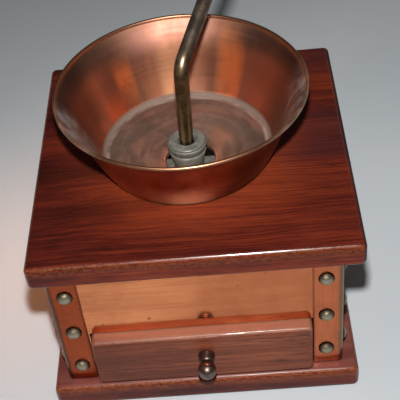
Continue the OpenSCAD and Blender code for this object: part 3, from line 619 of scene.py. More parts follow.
    # grey haze on two stretches of the wall, running down in faint streaks: dust, and a painted pale reflection
    drip = m.noise(m.vec(m.math("MULTIPLY", ang, 14.0), 3.0, m.math("MULTIPLY", z, 0.02)), 1.0, 3.0, 0.6)
    left = m.math("MULTIPLY", stretch_of_wall(-152.0, 8.0, 28.0), m.remap(m.math("ADD", z, m.math("MULTIPLY", drip, 30.0)), 116.0, 142.0))
    right = m.math("MULTIPLY", stretch_of_wall(-20.0, 10.0, 36.0), m.remap(m.math("ADD", z, m.math("MULTIPLY", drip, 30.0)), 134.0, 158.0, 0.0, 0.8))
    haze = m.math("ADD", left, right)
    haze = m.math("MULTIPLY", m.math("MULTIPLY", haze, m.remap(m.math("ADD", m.math("MULTIPLY", drip, 0.25), m.math("MULTIPLY", cloud2, 0.75)), 0.38, 0.62, 0.30, 1.0)), inner)
    wall = m.mix(m.math("MULTIPLY", haze, 0.8), wall, (0.30, 0.30, 0.305))
    # the floor: tarnished, scuffed round and round
    turned = m.noise(m.vec(m.math("MULTIPLY", ang, 0.8), m.math("MULTIPLY", r, 0.28), 4.0), 1.0, 2.0, 0.45)
    scuff = m.remap(m.math("ADD", m.math("MULTIPLY", turned, 0.50), m.math("MULTIPLY", cloud2, 0.50)), 0.35, 0.65, smooth=False)
    floor = m.ramp(scuff, [(0.0, (0.34, 0.205, 0.160)), (0.5, (0.46, 0.290, 0.225)), (1.0, (0.62, 0.420, 0.340))])
    dull = m.noise(m.vec(m.math("MULTIPLY", ang, 0.9), m.math("MULTIPLY", r, 0.10), 7.0), 1.0, 3.0, 0.55)
    floor = m.mix(m.math("MULTIPLY", m.remap(dull, 0.44, 0.62), 0.60), floor, (0.31, 0.255, 0.210))
    floor = m.mix(m.math("MULTIPLY", m.remap(dull, 0.47, 0.36), 0.45), floor, (0.80, 0.400, 0.275))
    # painted reflection: a bright pinkish patch and an orange spot on the floor, behind and right of the rod
    patch = m.math("MULTIPLY", stretch_of_wall(44.0, 8.0, 46.0), m.math("MULTIPLY", m.remap(r, 12.0, 20.0), m.remap(r, 38.0, 26.0)))
    floor = m.mix(m.math("MULTIPLY", patch, 0.30), floor, (1.0, 0.62, 0.47))
    spot = m.math("MULTIPLY", stretch_of_wall(38.0, 3.0, 20.0), m.math("MULTIPLY", m.remap(r, 15.0, 21.0), m.remap(r, 29.0, 23.0)))
    floor = m.mix(m.math("MULTIPLY", spot, 0.6), floor, (1.0, 0.50, 0.30))
    on_floor = m.remap(m.math("ADD", z, m.math("MULTIPLY", m.math("SUBTRACT", cloud2, 0.5), 1.2)), 108.6, 107.4)
    on_floor = m.math("MULTIPLY", m.math("MULTIPLY", on_floor, m.remap(r, 45.5, 44.4)), inner)
    col = m.mix(on_floor, wall, floor)
    # pale ring of dust in the corner, also a painted highlight along the fillet
    corner = m.math("SUBTRACT", 1.0, m.remap(m.math("ABSOLUTE", m.math("SUBTRACT", r, m.math("ADD", 42.0, m.math("MULTIPLY", m.math("SUBTRACT", cloud2, 0.5), 2.0)))), 0.5, 1.9))
    corner = m.math("MULTIPLY", corner, m.remap(m.noise(m.p, 0.10, 3.0), 0.38, 0.60, 0.25, 0.85))
    corner = m.math("MULTIPLY", corner, inner)
    col = m.mix(m.math("MULTIPLY", corner, 0.65), col, (0.185, 0.172, 0.146))
    # painted shade: darker and duller in the crease at the foot of the wall
    crease = m.math("MULTIPLY", m.math("MULTIPLY", m.remap(r, 41.6, 42.8), m.remap(z, 109.6, 108.4)), inner)
    col = m.mix(m.math("MULTIPLY", crease, 0.75), col, (0.150, 0.116, 0.095))
    # rim rubbed brighter, dark line under the roll
    rim = m.attr("rim")
    col = m.mix(m.math("MULTIPLY", rim, 0.6), col, (0.46, 0.255, 0.145))
    seam = m.attr("seam")
    col = m.mix(m.math("MULTIPLY", seam, 0.85), col, (0.05, 0.022, 0.014))
    rgh = m.remap(m.math("ADD", m.math("MULTIPLY", rings, 0.4), m.math("MULTIPLY", cloud, 0.6)), 0.36, 0.64, 0.40, 0.50, smooth=False)
    rgh = m.math("ADD", rgh, m.math("ADD", m.math("MULTIPLY", haze, 0.10), m.math("MULTIPLY", crown, 0.06)))
    rgh = m.mixf(on_floor, rgh, m.remap(scuff, 0.0, 1.0, 0.30, 0.38))
    rgh = m.math("ADD", rgh, m.math("MULTIPLY", m.math("ADD", corner, seam), 0.35))
    rgh = m.mixf(m.math("SUBTRACT", 1.0, inner), rgh, 0.30)
    met = m.mixf(on_floor, m.math("SUBTRACT", 1.0, m.math("MULTIPLY", haze, 0.85)), 0.85)
    met = m.math("MULTIPLY", met, m.math("SUBTRACT", 1.0, m.math("MULTIPLY", m.math("MAXIMUM", corner, crease), 0.8)))
    rgh = m.math("ADD", rgh, m.math("MULTIPLY", crease, 0.20), clamp=True)
    nrm = m.bump(m.math("MULTIPLY", rings, m.mixf(on_floor, 1.0, 0.25)), 0.14, 0.07)
    nrm = m.bump(cloud2, 0.25, 0.25, nrm)
    # painted highlight: a lighter stretch low on the front of the outer wall, with a brighter glare down its middle
    foot = m.math("MULTIPLY", m.math("MULTIPLY", m.math("SUBTRACT", 1.0, inner), m.remap(z, 126.0, 108.0)), m.remap(m.math("ABSOLUTE", m.math("ADD", m.math("ADD", ang, 1.57), m.math("MULTIPLY", m.math("SUBTRACT", cloud, 0.5), 0.9))), 0.75, 0.02))
    col = m.mix(m.math("MULTIPLY", foot, 0.6), col, (0.74, 0.350, 0.180))
    glare = m.math("MULTIPLY", m.math("MULTIPLY", m.math("SUBTRACT", 1.0, inner), m.remap(wz, 132.0, 114.0)), stretch_of_wall(-88.0, 1.0, 17.0))
    col = m.mix(m.math("MULTIPLY", glare, 0.7), col, (1.0, 0.60, 0.38))
    met = m.math("MULTIPLY", met, m.math("SUBTRACT", 1.0, m.math("MULTIPLY", foot, 0.40)))
    m.set(Base_Color=col, Roughness=rgh, Normal=nrm, Metallic=met, Coat_Weight=m.mixf(on_floor, 0.0, 0.05), Coat_Roughness=0.2)
    return m.m


M_BOWL = bowl_metal()


def hub_metal():
    m = Mat("zinc_casting")
    a = m.noise(m.p, 0.35, 5.0, 0.6, 0.3)
    b = m.noise(m.p, 2.2, 4.0, 0.6)
    t = m.remap(m.math("ADD", m.math("MULTIPLY", a, 0.65), m.math("MULTIPLY", b, 0.35)), 0.38, 0.62)
    col = m.ramp(t, [(0.0, (0.125, 0.130, 0.110)), (0.5, (0.172, 0.178, 0.154)), (1.0, (0.225, 0.230, 0.202))])
    # painted shade: darker in the bore, the turned grooves, under the undercut and on the arms below the bowl
    g = m.attr("groove")
    col = m.mix(m.math("MULTIPLY", g, 0.85), col, (0.030, 0.022, 0.017))
    rgh = m.remap(t, 0.0, 1.0, 0.58, 0.44)
    nrm = m.bump(m.math("ADD", b, m.math("MULTIPLY", m.noise(m.p, 5.5, 3.0), 0.5)), 0.35, 0.07)
    m.set(Base_Color=col, Roughness=rgh, Normal=nrm, Metallic=0.2, Specular_IOR_Level=0.3)
    return m.m


M_HUB = hub_metal()


def rod_metal():
    m = Mat("rod_bronze")
    s = m.attr("along")
    a = m.noise(m.p, 0.11, 4.0, 0.62, 0.3)
    b = m.noise(m.p, 1.4, 4.0, 0.62)
    t = m.remap(m.math("ADD", m.math("MULTIPLY", a, 0.55), m.math("MULTIPLY", b, 0.45)), 0.38, 0.62)
    warm = m.mix(t, (0.42, 0.300, 0.140), (0.14, 0.095, 0.052))
    cool = m.mix(t, (0.34, 0.270, 0.215), (0.12, 0.093, 0.078))
    warm = m.mix(m.remap(s, 0.32, 0.10), warm, (0.20, 0.130, 0.075))
    col = m.mix(m.remap(s, 0.42, 0.60), warm, cool)
    # painted highlight and shade: bright stripes and dark bands along the lower rod, by which way each side faces
    f = m.math("MULTIPLY", m.math("ARCTAN2", m.attr("facey"), m.attr("facex")), 180.0 / pi)
    f = m.math("ADD", f, m.math("MULTIPLY", m.math("SUBTRACT", a, 0.5), 16.0))

    def band(centre, half):
        return m.remap(m.math("ABSOLUTE", m.math("SUBTRACT", f, centre)), half * 1.6, half * 0.4)

    low = m.remap(s, 0.44, 0.28)
    dull = m.math("MULTIPLY", m.math("ADD", band(5.0, 15.0), m.math("ADD", band(66.0, 26.0), band(-66.0, 20.0)), clamp=True), low)
    col = m.mix(m.math("MULTIPLY", dull, 0.75), col, (0.060, 0.040, 0.030))
    shine = m.math("MULTIPLY", m.math("ADD", band(-27.0, 11.0), m.math("MULTIPLY", band(30.0, 9.0), 0.6), clamp=True), m.math("MULTIPLY", low, m.remap(s, 0.04, 0.16, 0.5, 1.0)))
    col = m.mix(m.math("MULTIPLY", shine, 0.8), col, (0.50, 0.355, 0.155))
    rgh = m.remap(b, 0.3, 0.7, 0.26, 0.40)
    nrm = m.bump(m.math("ADD", b, m.math("MULTIPLY", a, 1.0)), 0.25, 0.05)
    m.set(Base_Color=col, Roughness=rgh, Normal=nrm, Metallic=0.92, Specular_IOR_Level=0.4)
    return m.m


M_ROD = rod_metal()
M_KNOB = metal("knob_brass", (0.24, 0.175, 0.145), (0.085, 0.058, 0.052), rough=(0.30, 0.46), grain=1.6, bump=0.35, mixs=0.8, edge=((0.03, 0.018, 0.012), 0.85))


def use(ob, mat, body, slot, *nodes):
    ob.data.materials.clear()
    ob.data.materials.append(mat)
    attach(ob, body)
    if nodes:
        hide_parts(*nodes)
    return ob


# ---------------------------------------------------------------- boards
def cutter(prof, cx, cy, seg=96):
    return lathe("cutter", [(0.0, prof[0][1])] + prof + [(0.0, prof[-1][1])], up(cx, cy, 0.0), seg, ang=60)


base = weld_and_worn("base_board_body", rounded_box((-80, -80, 0), (80, 80, 14.5), 3.0, 3.2), 0.05, 0.18, (3, 1, 9),
                     keep=lambda p: p.z < 0.4 or p.z > 14.3)
screw_x = WX - 6.7
cut(base, [cutter([(4.5, -1.0), (4.5, 0.0), (2.1, 2.8), (2.1, 20.0)], i * screw_x, j * 48, 40) for i in (-1, 1) for j in (-1, 1)], 40)
use(base, M_BASE, "case", "mahogany", "base_board")

top = weld_and_worn("top_board_body", rounded_box((-78.2, -80, Z_CASE), (81.8, 80, Z_TOP), 3.0, 3.2), 0.05, 0.18, (41, 5, 2),
                    keep=lambda p: p.z < Z_CASE + 0.2)
cut(top, [cutter([(22.0, Z_CASE - 5), (22.0, 100.1), (42.2, 105.2), (44.5, 106.0), (44.5, 112.0)], 0, 0, 128)], 40)
use(top, M_TOP, "case", "mahogany", "top_board")


# ---------------------------------------------------------------- copper cladding
def sheet(name, w0, w1, z0, z1, at, out, axis, hole=None, amp=0.16, seed=(0, 0, 0), t=0.6):
    """Thin sheet in the plane axis = at, its outer face towards out; gently uneven away from its borders."""
    step = 2.4
    xs = sorted(set([w0, w1] + ([hole[0], hole[1]] if hole else []) + [w0 + (w1 - w0) * i / round((w1 - w0) / step) for i in range(round((w1 - w0) / step) + 1)]))
    zs = sorted(set([z0, z1] + ([hole[2]] if hole else []) + [z0 + (z1 - z0) * i / round((z1 - z0) / step) for i in range(round((z1 - z0) / step) + 1)]))
    V, F, idx = [], [], {}

    def inhole(x, z):
        return hole and hole[0] < x < hole[1] and z < hole[2]

    def pt(x, z, layer):
        k = (round(x, 4), round(z, 4), layer)
        if k not in idx:
            edge = min(x - w0, w1 - x, z - z0, z1 - z)
            if hole:
                dx = max(hole[0] - x, x - hole[1], 0)
                dz = max(z - hole[2], 0)
                edge = min(edge, math.hypot(dx, dz))
            f = max(0.0, min(1.0, (edge - 1.0) / 14.0))
            d = amp * f * fbm(Vector((x, at, z)) + Vector(seed), 0.035, 2) if layer == 0 else -t
            p = [0, 0, z]
            p[0 if axis == 1 else 1] = x
            p[axis] = at + out * min(d, 0.12)
            idx[k] = len(V)
            V.append(tuple(p))
        return idx[k]

    cells = {}
    for i in range(len(xs) - 1):
        for j in range(len(zs) - 1):
            if not inhole((xs[i] + xs[i + 1]) / 2, (zs[j] + zs[j + 1]) / 2):
                cells[(i, j)] = True
    for (i, j) in cells:
        q = [(xs[i], zs[j]), (xs[i + 1], zs[j]), (xs[i + 1], zs[j + 1]), (xs[i], zs[j + 1])]
        F.append(tuple(pt(x, z, 0) for x, z in q))
        F.append(tuple(pt(x, z, 1) for x, z in reversed(q)))
        for (di, dj, a, b) in ((0, -1, 0, 1), (1, 0, 1, 2), (0, 1, 2, 3), (-1, 0, 3, 0)):
            if (i + di, j + dj) not in cells:
                F.append((pt(*q[a], 0), pt(*q[b], 0), pt(*q[b], 1), pt(*q[a], 1)))
    return build(name, V, F, 40)


use(sheet("front_cladding", -PX, PX, Z_BASE, Z_CASE, -PY, -1, 1, hole=(-56.1, 56.9, OPEN_TOP), seed=(4, 0, 7)), M_PANEL, "case", "copper_sheet", "front_panel")
use(sheet("back_cladding", -PX, PX, Z_BASE, Z_CASE, PY, 1, 1, seed=(14, 3, 7)), M_PANEL, "case", "copper_sheet", "back_panel")
use(sheet("left_cladding", -WY, WY, Z_BASE, Z_CASE, -PX, -1, 0, seed=(24, 0, 1)), M_SIDE, "case", "copper_sheet", "left_panel")
use(sheet("right_cladding", -WY, WY, Z_BASE, Z_CASE, PX, 1, 0, seed=(44, 9, 7)), M_SIDE, "case", "copper_sheet", "right_panel")


def strap(name, i, j, seed):
    r = 2.2
    z0, z1 = Z_BASE + 0.1, Z_CASE - 0.1
    outer = dense([(-SX, -SY + LEG), (-SX, -SY + r)], 1.6) + arc(-SX + r, -SY + r, r, 180, 270, 6)[1:-1] + dense([(-SX + r, -SY), (-SX + LEG, -SY)], 1.6)
    inner = dense([(-SX + LEG, -PY), (-PX, -PY)], 1.6) + dense([(-PX, -PY), (-PX, -SY + LEG)], 1.6)[1:]
    poly = outer + inner
    n_out, n = len(outer), len(poly)
    nz = 44
    V, F, A = [], [], []
    for k in range(nz + 1):
        z = z0 + (z1 - z0) * k / nz
        for m, (x, y) in enumerate(poly):
            px, py = x, y
            wear_and_shading = 0.0
            if m < n_out:
                # hammered a little round each nail, and not quite straight at the free edges
                side = x < -SX + 0.3 and y > -SY + r
                d = 0.0
                s = (y + SY) if side else (x + SX)
                for nz_ in NAIL_Z:
                    q = math.hypot(s - NAIL_IN, z - nz_ + (NAIL_DROP if j < 0 and not side else 0.0))
                    d -= 0.22 * math.exp(-((q - 4.2) / 2.4) ** 2) if q > 3.0 else 0.16
                d += 0.10 * fbm((x * 1.0 + seed, y, z), 0.11, 2)
                free = max(0.0, 1 - (LEG - s) / 2.2)
                d -= 0.10 * free
                wear_and_shading = max(free, 1 - min(z - z0, z1 - z) / 1.6)
                wear_and_shading = max(0.0, min(1.0, wear_and_shading))
                d = max(-0.42, min(0.05, d))
                if side:
                    px -= d
                elif y < -SY + 0.3:
                    py -= d
            w = 0.16 * fbm((seed, z, 3.0), 0.07, 2) if m in (n_out - 1, n_out) else 0.0
            px += w
            w = 0.16 * fbm((seed, 9.0, z), 0.07, 2) if m in (0, n - 1) else 0.0
            py += w
            V.append((px if i < 0 else -px, py if j < 0 else -py, z))
            A.append(wear_and_shading)
    for k in range(nz):
        for m in range(n):
            l = (m + 1) % n
            F.append((k * n + m, k * n + l, (k + 1) * n + l, (k + 1) * n + m))
    # the ends, as strips between the outer and the inner line
    for k in (0, nz):
        for m in range(n_out - 1):
            t0, t1 = m / (n_out - 1), (m + 1) / (n_out - 1)
            a = k * n + n - 1 - round(t0 * (n - n_out - 1))
            b = k * n + n - 1 - round(t1 * (n - n_out - 1))
            q = (k * n + m, k * n + m + 1, b, a)
            F.append(q if a != b else q[:3])
    ob = build(name, V, F, 40, attrs={"wear_and_shading": A})
    return bevel(ob, 0.28, 2, 50)


for nm, i, j, s in (("front_left", -1, -1, 3.0), ("front_right", 1, -1, 17.0), ("back_left", -1, 1, 29.0), ("back_right", 1, 1, 51.0)):
    use(strap("corner_strap_" + nm, i, j, s), M_STRAP_L if nm == "front_left" else M_STRAP, "case", "copper_strap", "strap_" + nm)


def nails():
    places = [((i * (SX - NAIL_IN), j * SY, z - (NAIL_DROP if j < 0 else 0.0)), (0, j, 0)) for i in (-1, 1) for j in (-1, 1) for z in NAIL_Z]
    places += [((i * SX, j * (SY - NAIL_IN), z), (i, 0, 0)) for i in (-1, 1) for j in (-1, 1) for z in NAIL_Z]
    hgt, rad = 2.6, 4.1
    rs = (rad * rad + hgt * hgt) / (2 * hgt)
    parts = []
    for c, n in places:
        n = Vector(n)
        tilt = Vector((rng.uniform(-1, 1), rng.uniform(-1, 1), rng.uniform(-1, 1))) * 0.03
        ax = (n + tilt - n * tilt.dot(n)).normalized()
        q = ax.to_track_quat("Z", "Y").to_matrix()
        c = Vector(c) + Vector((0, 0, rng.uniform(-0.25, 0.25)))
        k = rng.uniform(0.97, 1.0)
        a1 = math.asin(rad / rs)
        prof = [(0.8 * 0, -6.4), (0.8, -5.2), (0.8, -0.02), (3.7 * k, -0.02), (4.02 * k, 0.05), (4.1 * k, 0.22)]
        attr = [0, 0, 0, 0, 0.0, 0.1]
        for i in range(12):
            a = a1 * (1 - (i + 1) / 12)
            rr_, h = rs * math.sin(a), rs * math.cos(a) - (rs - hgt)
            rr_ = rr_ * k
            prof.append((max(rr_, 0.0), max(h, 0.26 + 0.01 * i)))
            attr.append(min(1.0, h / hgt))
        spin, off = rng.uniform(0, 6.28), Vector((rng.uniform(0, 50), rng.uniform(0, 50), rng.uniform(0, 50)))

        def place(r, h, t, q=q, c=c, spin=spin, off=off):
            v = Vector((r * math.cos(t + spin), r * math.sin(t + spin), h))
            if h > 0.1 and r > 0.01:
                d = 0.16 * fbm(v + off, 0.45, 2)
                v += v.normalized() * min(d, 0.05)
            return tuple(c + q @ v)

        parts.append(ring_lists(prof, 28, place, attr=attr))
    V, F, A = join_lists(parts)
    ob = build("strap_nail_heads", V, F, 50, attrs={"wear_and_shading": A})
    return ob


use(nails(), M_NAIL, "case", "nail_metal", "strap_nails")


# ---------------------------------------------------------------- hopper
def bowl():
    t = 0.8
    zs = Z_TOP - 6.6
    zl = zs - 1.3 - 0.244 * 3.2
    mid = [(13.2, zs - 3.3), (13.2, zs - 2.6)] + arc(14.6, zl, 1.4, 180, 104, 6)
    mid += dense([mid[-1]] + arc(41.0, Z_TOP + 2.3, 3.0, -76, -24, 9)[:1], 1.4)[1:-1]
    mid += arc(41.0, Z_TOP + 2.3, 3.0, -76, -24, 9)
    low, high = mid[-1], (61.45, 144.75)
    nw = 30
    for q in range(1, nw + 1):
        u = q / nw
        # the wall sweeps outwards towards the rim, like a shallow bell
        inw = 2.0 * math.sin(pi * u ** 2.2)
        mid.append((low[0] + (high[0] - low[0]) * u - inw, low[1] + (high[1] - low[1]) * u))
    n = len(mid)

    def nrm(i):
        a = Vector(mid[min(i + 1, n - 1)]) - Vector(mid[max(i - 1, 0)])
        a.normalize()
        return Vector((-a.y, a.x))

    inner = [tuple(Vector(mid[i]) + nrm(i) * t / 2) for i in range(n)]
    outer = [tuple(Vector(mid[i]) - nrm(i) * t / 2) for i in range(n)]
    bead = arc(62.15, 145.85, 0.92, 205, -80, 16)
    crev = [(61.85, 144.7)]
    prof = inner + bead + crev + list(reversed(outer))
    rim = [0.0] * n + [1.0] * len(bead) + [0.0] + [0.0] * n
    rim[n - 1] = 0.5
    seam = [0.0] * n + [0.0] * (len(bead) - 2) + [0.5, 1.0] + [1.0, 0.9, 0.45] + [0.0] * (n - 2)
    ins = [1.0] * n + [0.5] * len(bead) + [0.0] * (n + 1)
    seg = 192
    V, F = [], []
    R, S, I = [], [], []
    for i, (r, h) in enumerate(prof):
        for k in range(seg):
            a = 2 * pi * k / seg
            hi = max(0.0, min(1.0, (h - 108.0) / 36.0))
            # hand-spun: not quite round, with a few soft dents, true where it sits in the board
            d = hi * (0.28 * math.cos(2 * a + 0.6) + 0.12 * math.cos(3 * a + 2.0)) + 0.30 * hi * noise.noise(Vector((math.cos(a) * 1.9, math.sin(a) * 1.9, h * 0.03)))
            d = min(d, 0.0 + (63.05 - r) if r > 60 else d)
            lift = hi * 0.14 * math.cos(2 * a + 1.9)
            off = 0.9 * max(0.0, min(1.0, (34.0 - r) / 18.0)) if h < 107 else 0.0
            V.append(((r + d) * math.cos(a) + off, (r + d) * math.sin(a), h + lift))
            R.append(rim[i]); S.append(seam[i]); I.append(ins[i])
    m = len(prof)
    for i in range(m):
        j = (i + 1) % m
        for k in range(seg):
            l = (k + 1) % seg
            F.append((i * seg + k, i * seg + l, j * seg + l, j * seg + k))
    return build("hopper_shell", V, F, 50, merge=False, attrs={"rim": R, "seam": S, "inside": I})


use(bowl(), M_BOWL, "case", "copper_bowl", "hopper_bowl")


# ---------------------------------------------------------------- bearing bridge
def bridge():
    prof = [(3.75, 91.6), (3.75, 109.9), (4.55, 110.0), (4.7, 110.3), (4.75, 111.1), (5.1, 111.45), (5.6, 111.5),
            (8.3, 111.5), (8.9, 111.42), (9.35, 111.15), (9.55, 110.85), (9.3, 110.62), (9.15, 110.5), (9.55, 110.42), (9.95, 110.25),
            (10.15, 109.95), (10.2, 109.5), (10.1, 109.1), (9.75, 108.2), (9.3, 107.1), (9.0, 106.35), (9.05, 106.1), (9.45, 105.85), (9.7, 105.5),
            (9.7, 104.9), (7.8, 98.5), (7.7, 92.2), (7.4, 91.6)]
    g = [1, 0.8, 0.55, 0.35, 0.15, 0.05, 0, 0, 0, 0.1, 0.35, 1.0, 1.0, 0.55, 0.1, 0, 0, 0, 0.05, 0.2, 0.75, 0.6, 0.15, 0.0, 0.0, 0.3, 1, 1]
    seg = 72
    V, F, A = [], [], []
    for i, (r, h) in enumerate(prof):
        for k in range(seg):
            a = 2 * pi * k / seg
            d = 0.0
            if r > 5.2:
                d = 0.09 * fbm((r * math.cos(a) * 1.0, r * math.sin(a), h), 0.3, 2)
            if 4.4 < r < 5.7 and h > 109.8:
                # a worn notch beside the rod
                q = math.atan2(math.sin(a - 0.35), math.cos(a - 0.35))
                d += 1.15 * math.exp(-(q / 0.33) ** 2)
            V.append(((r + d) * math.cos(a), (r + d) * math.sin(a), h))
            A.append(float(g[i]))
    n = len(prof)
    for i in range(n):
        j = (i + 1) % n
        for k in range(seg):
            l = (k + 1) % seg
            F.append((i * seg + k, i * seg + l, j * seg + l, j * seg + k))
    parts = [(V, F, A)]
    for s in (-1, 1):
        lo, hi = (7.6, -3.9, Z_CASE + 0.05), (20.2, 3.9, Z_CASE + 3.75)
        if s < 0:
            lo, hi = (-20.2, -3.9, Z_CASE + 0.05), (-7.6, 3.9, Z_CASE + 3.75)
        v, f, a = rounded_box(lo, hi, 0.9, 2.0)
        parts.append((v, f, [x * 0.0 + 0.25 for x in a]))
    V, F, A = join_lists(parts)
    return build("bearing_hub", V, F, 35, attrs={"groove": A})


use(bridge(), M_HUB, "case", "zinc_casting", "bearing_bridge")


# ---------------------------------------------------------------- crank
def crank_path():
    lean, rise = math.radians(3.6), math.radians(29.4)
    lean_r, bend_r, end_r = 20.0, 10.0, 14.0
    z_lean, z_bend = Z_TOP + 7.5, Z_TOP + 43.5
    arm_r = 92.0
    p1 = (lean_r * (1 - math.cos(lean)), z_lean + lean_r * math.sin(lean))
    up_len = (z_bend - p1[1]) / math.cos(lean)
    p2 = (p1[0] + up_len * math.sin(lean), p1[1] + up_len * math.cos(lean))
    c2 = (p2[0] + bend_r * math.cos(lean), p2[1] - bend_r * math.sin(lean))
    p3 = (c2[0] - bend_r * math.sin(rise), c2[1] + bend_r * math.cos(rise))
    run = arm_r - 12 - end_r * math.sin(rise)
    out_len = (run - p3[0]) / math.cos(rise)
    p4 = (p3[0] + out_len * math.cos(rise), p3[1] + out_len * math.sin(rise))
    c4 = (p4[0] + end_r * math.sin(rise), p4[1] - end_r * math.cos(rise))
    p5 = (c4[0], c4[1] + end_r)
    path = dense([(0, 64.0), (0, z_lean)], 2.0)
    path += arc(lean_r, z_lean, lean_r, 180, 180 - 3.6, 3)[1:]
    path += dense([p1, p2], 2.0)[1:]
    path += arc(c2[0], c2[1], bend_r, 180 - 3.6, 90 + 29.4, 14)[1:]
    path += dense([p3, p4], 2.0)[1:]
    path += arc(c4[0], c4[1], end_r, 90 + 29.4, 90, 7)[1:]
    path += dense([p5, (arm_r - 6.2, p5[1])], 1.5)[1:]
    return path, p5[1], arm_r


PATH, Z_ARM, ARM_R = crank_path()
GX, GY = ARM_R * math.cos(AZ), ARM_R * math.sin(AZ)


def crank():
    ca, sa = math.cos(AZ), math.sin(AZ)
    side = Vector((-sa, ca, 0))
    seg, rr_ = 40, 3.7
    V, F, A, FX, FY = [], [], [], [], []
    n = len(PATH)
    L = [0.0]
    for a, b in zip(PATH, PATH[1:]):
        L.append(L[-1] + math.dist(a, b))
    for i, (d, z) in enumerate(PATH):
        a, b = PATH[max(i - 1, 0)], PATH[min(i + 1, n - 1)]
        t = Vector((b[0] - a[0], b[1] - a[1])).normalized()
        nr = Vector((-t.y * ca, -t.y * sa, t.x))
        c = Vector((d * ca, d * sa, z))
        r = rr_
        if i == 0:
            r -= 0.5
        for k in range(seg):
            u = 2 * pi * k / seg
            w = 0.035 * fbm((c.x + 9 * math.cos(u), c.y + 9 * math.sin(u), c.z), 0.09, 2)
            v = c + (side * math.cos(u) + nr * math.sin(u)) * (r + min(w, 0.03))
            V.append(tuple(v))
            A.append(L[i] / L[-1])
            FX.append(math.cos(AZ + u + math.radians(177.0)))
            FY.append(math.sin(AZ + u + math.radians(177.0)))
    for i in range(n - 1):
        for k in range(seg):
            l = (k + 1) % seg
            F.append((i * seg + k, i * seg + l, (i + 1) * seg + l, (i + 1) * seg + k))
    F.append(tuple(range(seg)))
    F.append(tuple((n - 1) * seg + k for k in range(seg)))
    rod = (V, F, A)
    # the forged eye at the arm's end
    prof = [(3.05, Z_ARM - 3), (3.4, Z_ARM - 3), (6.9, Z_ARM - 3), (7.6, Z_ARM - 2.75), (7.95, Z_ARM - 2.2), (8.0, Z_ARM - 1), (8.0, Z_ARM + 1),
            (7.95, Z_ARM + 2.2), (7.6, Z_ARM + 2.75), (6.9, Z_ARM + 3), (3.4, Z_ARM + 3), (3.05, Z_ARM + 3)]
    v, f, a = ring_lists(prof, 56, up(GX, GY, 0), closed=True, attr=[1.0] * len(prof))
    V, F, A = join_lists([rod, (v, f, a)])
    return build("crank_bent_rod", V, F, 50, attrs={"along": A, "facex": FX + [1.0] * len(v), "facey": FY + [0.0] * len(v)})


use(crank(), M_ROD, "crank", "rod_bronze", "crank_rod")

Z_EYE = Z_ARM + 3
Z_GRIP = Z_EYE + 1.4
side_line = smooth_line([(7.4, 5.6), (7.1, 8), (7.9, 12), (10.6, 18), (13.6, 25), (14.45, 30.5), (13.2, 35.6), (10, 39.3), (7.4, 40.7), (6.9, 41.0)], 8)


def grip():
    prof = [(3.1, 0.0), (6.8, 0.0), (6.8, 5.5)] + side_line[:-1] + [(6.9, 41.0), (3.3, 41.0), (3.1, 40.7)]
    q = []
    for (r, h) in prof:
        # two fine turned lines round the belly
        for hc in (27.6, 29.4):
            if r > 12:
                r -= 0.28 * math.exp(-((h - hc) / 0.42) ** 2)
        q.append((r, h))
    fine = []
    for a, b in zip(q, q[1:]):
        k = 6 if a[0] > 12.5 and b[0] > 12.5 else 1
        for i in range(k):
            r, h = a[0] + (b[0] - a[0]) * i / k, a[1] + (b[1] - a[1]) * i / k
            fine.append((r, h))
    fine.append(q[-1])
    return lathe("grip_body", fine, up(GX, GY, Z_GRIP), 72, closed=True, ang=40)


use(grip(), M_GRIP, "grip", "grip_wood", "wooden_grip")


# ---------------------------------------------------------------- drawer
front = weld_and_worn("drawer_front_board", rounded_box((-55.5, -79.5, 16.0), (56.3, -69.5, 49.0), 2.2, 2.4, flat={(1, 1)}), 0.06, 0.42, (8, 2, 5),
                      keep=lambda p: p.y > -69.8)
cut(front, [lathe("cutter", [(0, -1), (1.6, -1), (1.6, 12), (0, 12)], out_y(2, -69.0, 34.5), 24, ang=60)], 40)
use(front, M_DRAWER, "drawer", "drawer_wood", "drawer_front")

neck = smooth_line([(4.3, 1.1), (4.1, 2.0), (3.9, 3.2), (3.7, 4.4), (3.2, 5.4)], 5)
ball = [(4.7 * math.cos(math.radians(a)), 9.7 + 4.7 * math.sin(math.radians(a))) for a in range(-52, 91, 6)]
ball[-1] = (0.0, 14.4)
kp = [(1.5, 0.0), (4.0, 0.0), (4.2, 0.15), (4.3, 0.45), (4.3, 1.0)] + neck + [(3.1, 5.8)] + [b for b in ball if b[1] > 6.2] + []
kp = [(1.5, 5.4)] + kp
kw = [1.0] * 2 + [0.8, 0.3, 0.1, 0.3] + [0.25 + 0.6 * (i / len(neck)) ** 6 for i in range(len(neck))] + [1.0]
kw += [0.0] * (len(kp) - len(kw))
kw = [max(0.0, w) for w in kw]
knob = lathe("drawer_pull", [(0.0, 5.4)] + kp, out_y(2.0, -79.5, 34.5), 56, ang=38, attr=[1.0] + kw)
use(knob, M_KNOB, "drawer", "knob_brass", "drawer_knob")

# ---------------------------------------------------------------- finishes of the other pieces
FINISH = {
    "case_wood": M_CASE, "drawer_box_wood": M_BOX, "screw_steel": M_STEEL, "burr_iron": M_IRON, "wheel_brass": M_WHEEL,
}
ACROSS = {"front_rail": M_CASE_X, "back_wall": M_CASE_X, "drawer_back": M_BOX_X, "drawer_bottom": M_BOX_X, "left_wall": M_BOX, "right_wall": M_BOX}
slots = {s["node"]: s["material_slot"] for s in frame["record"]["subparts"]}
M_WALL = wood("case_wood_walls", PLAIN, "y", rough=(0.55, 0.7), pore=0.4, seed=65.0)
ACROSS["left_wall"] = ACROSS["right_wall"] = M_WALL
for n, o in frame["nodes"].items():
    mat = ACROSS.get(n) or FINISH.get(slots.get(n))
    if mat is not None:
        for s in o.material_slots:
            s.material = mat
        if not o.material_slots:
            o.data.materials.append(mat)

# ---------------------------------------------------------------- floor, lights, camera
scene = bpy.context.scene


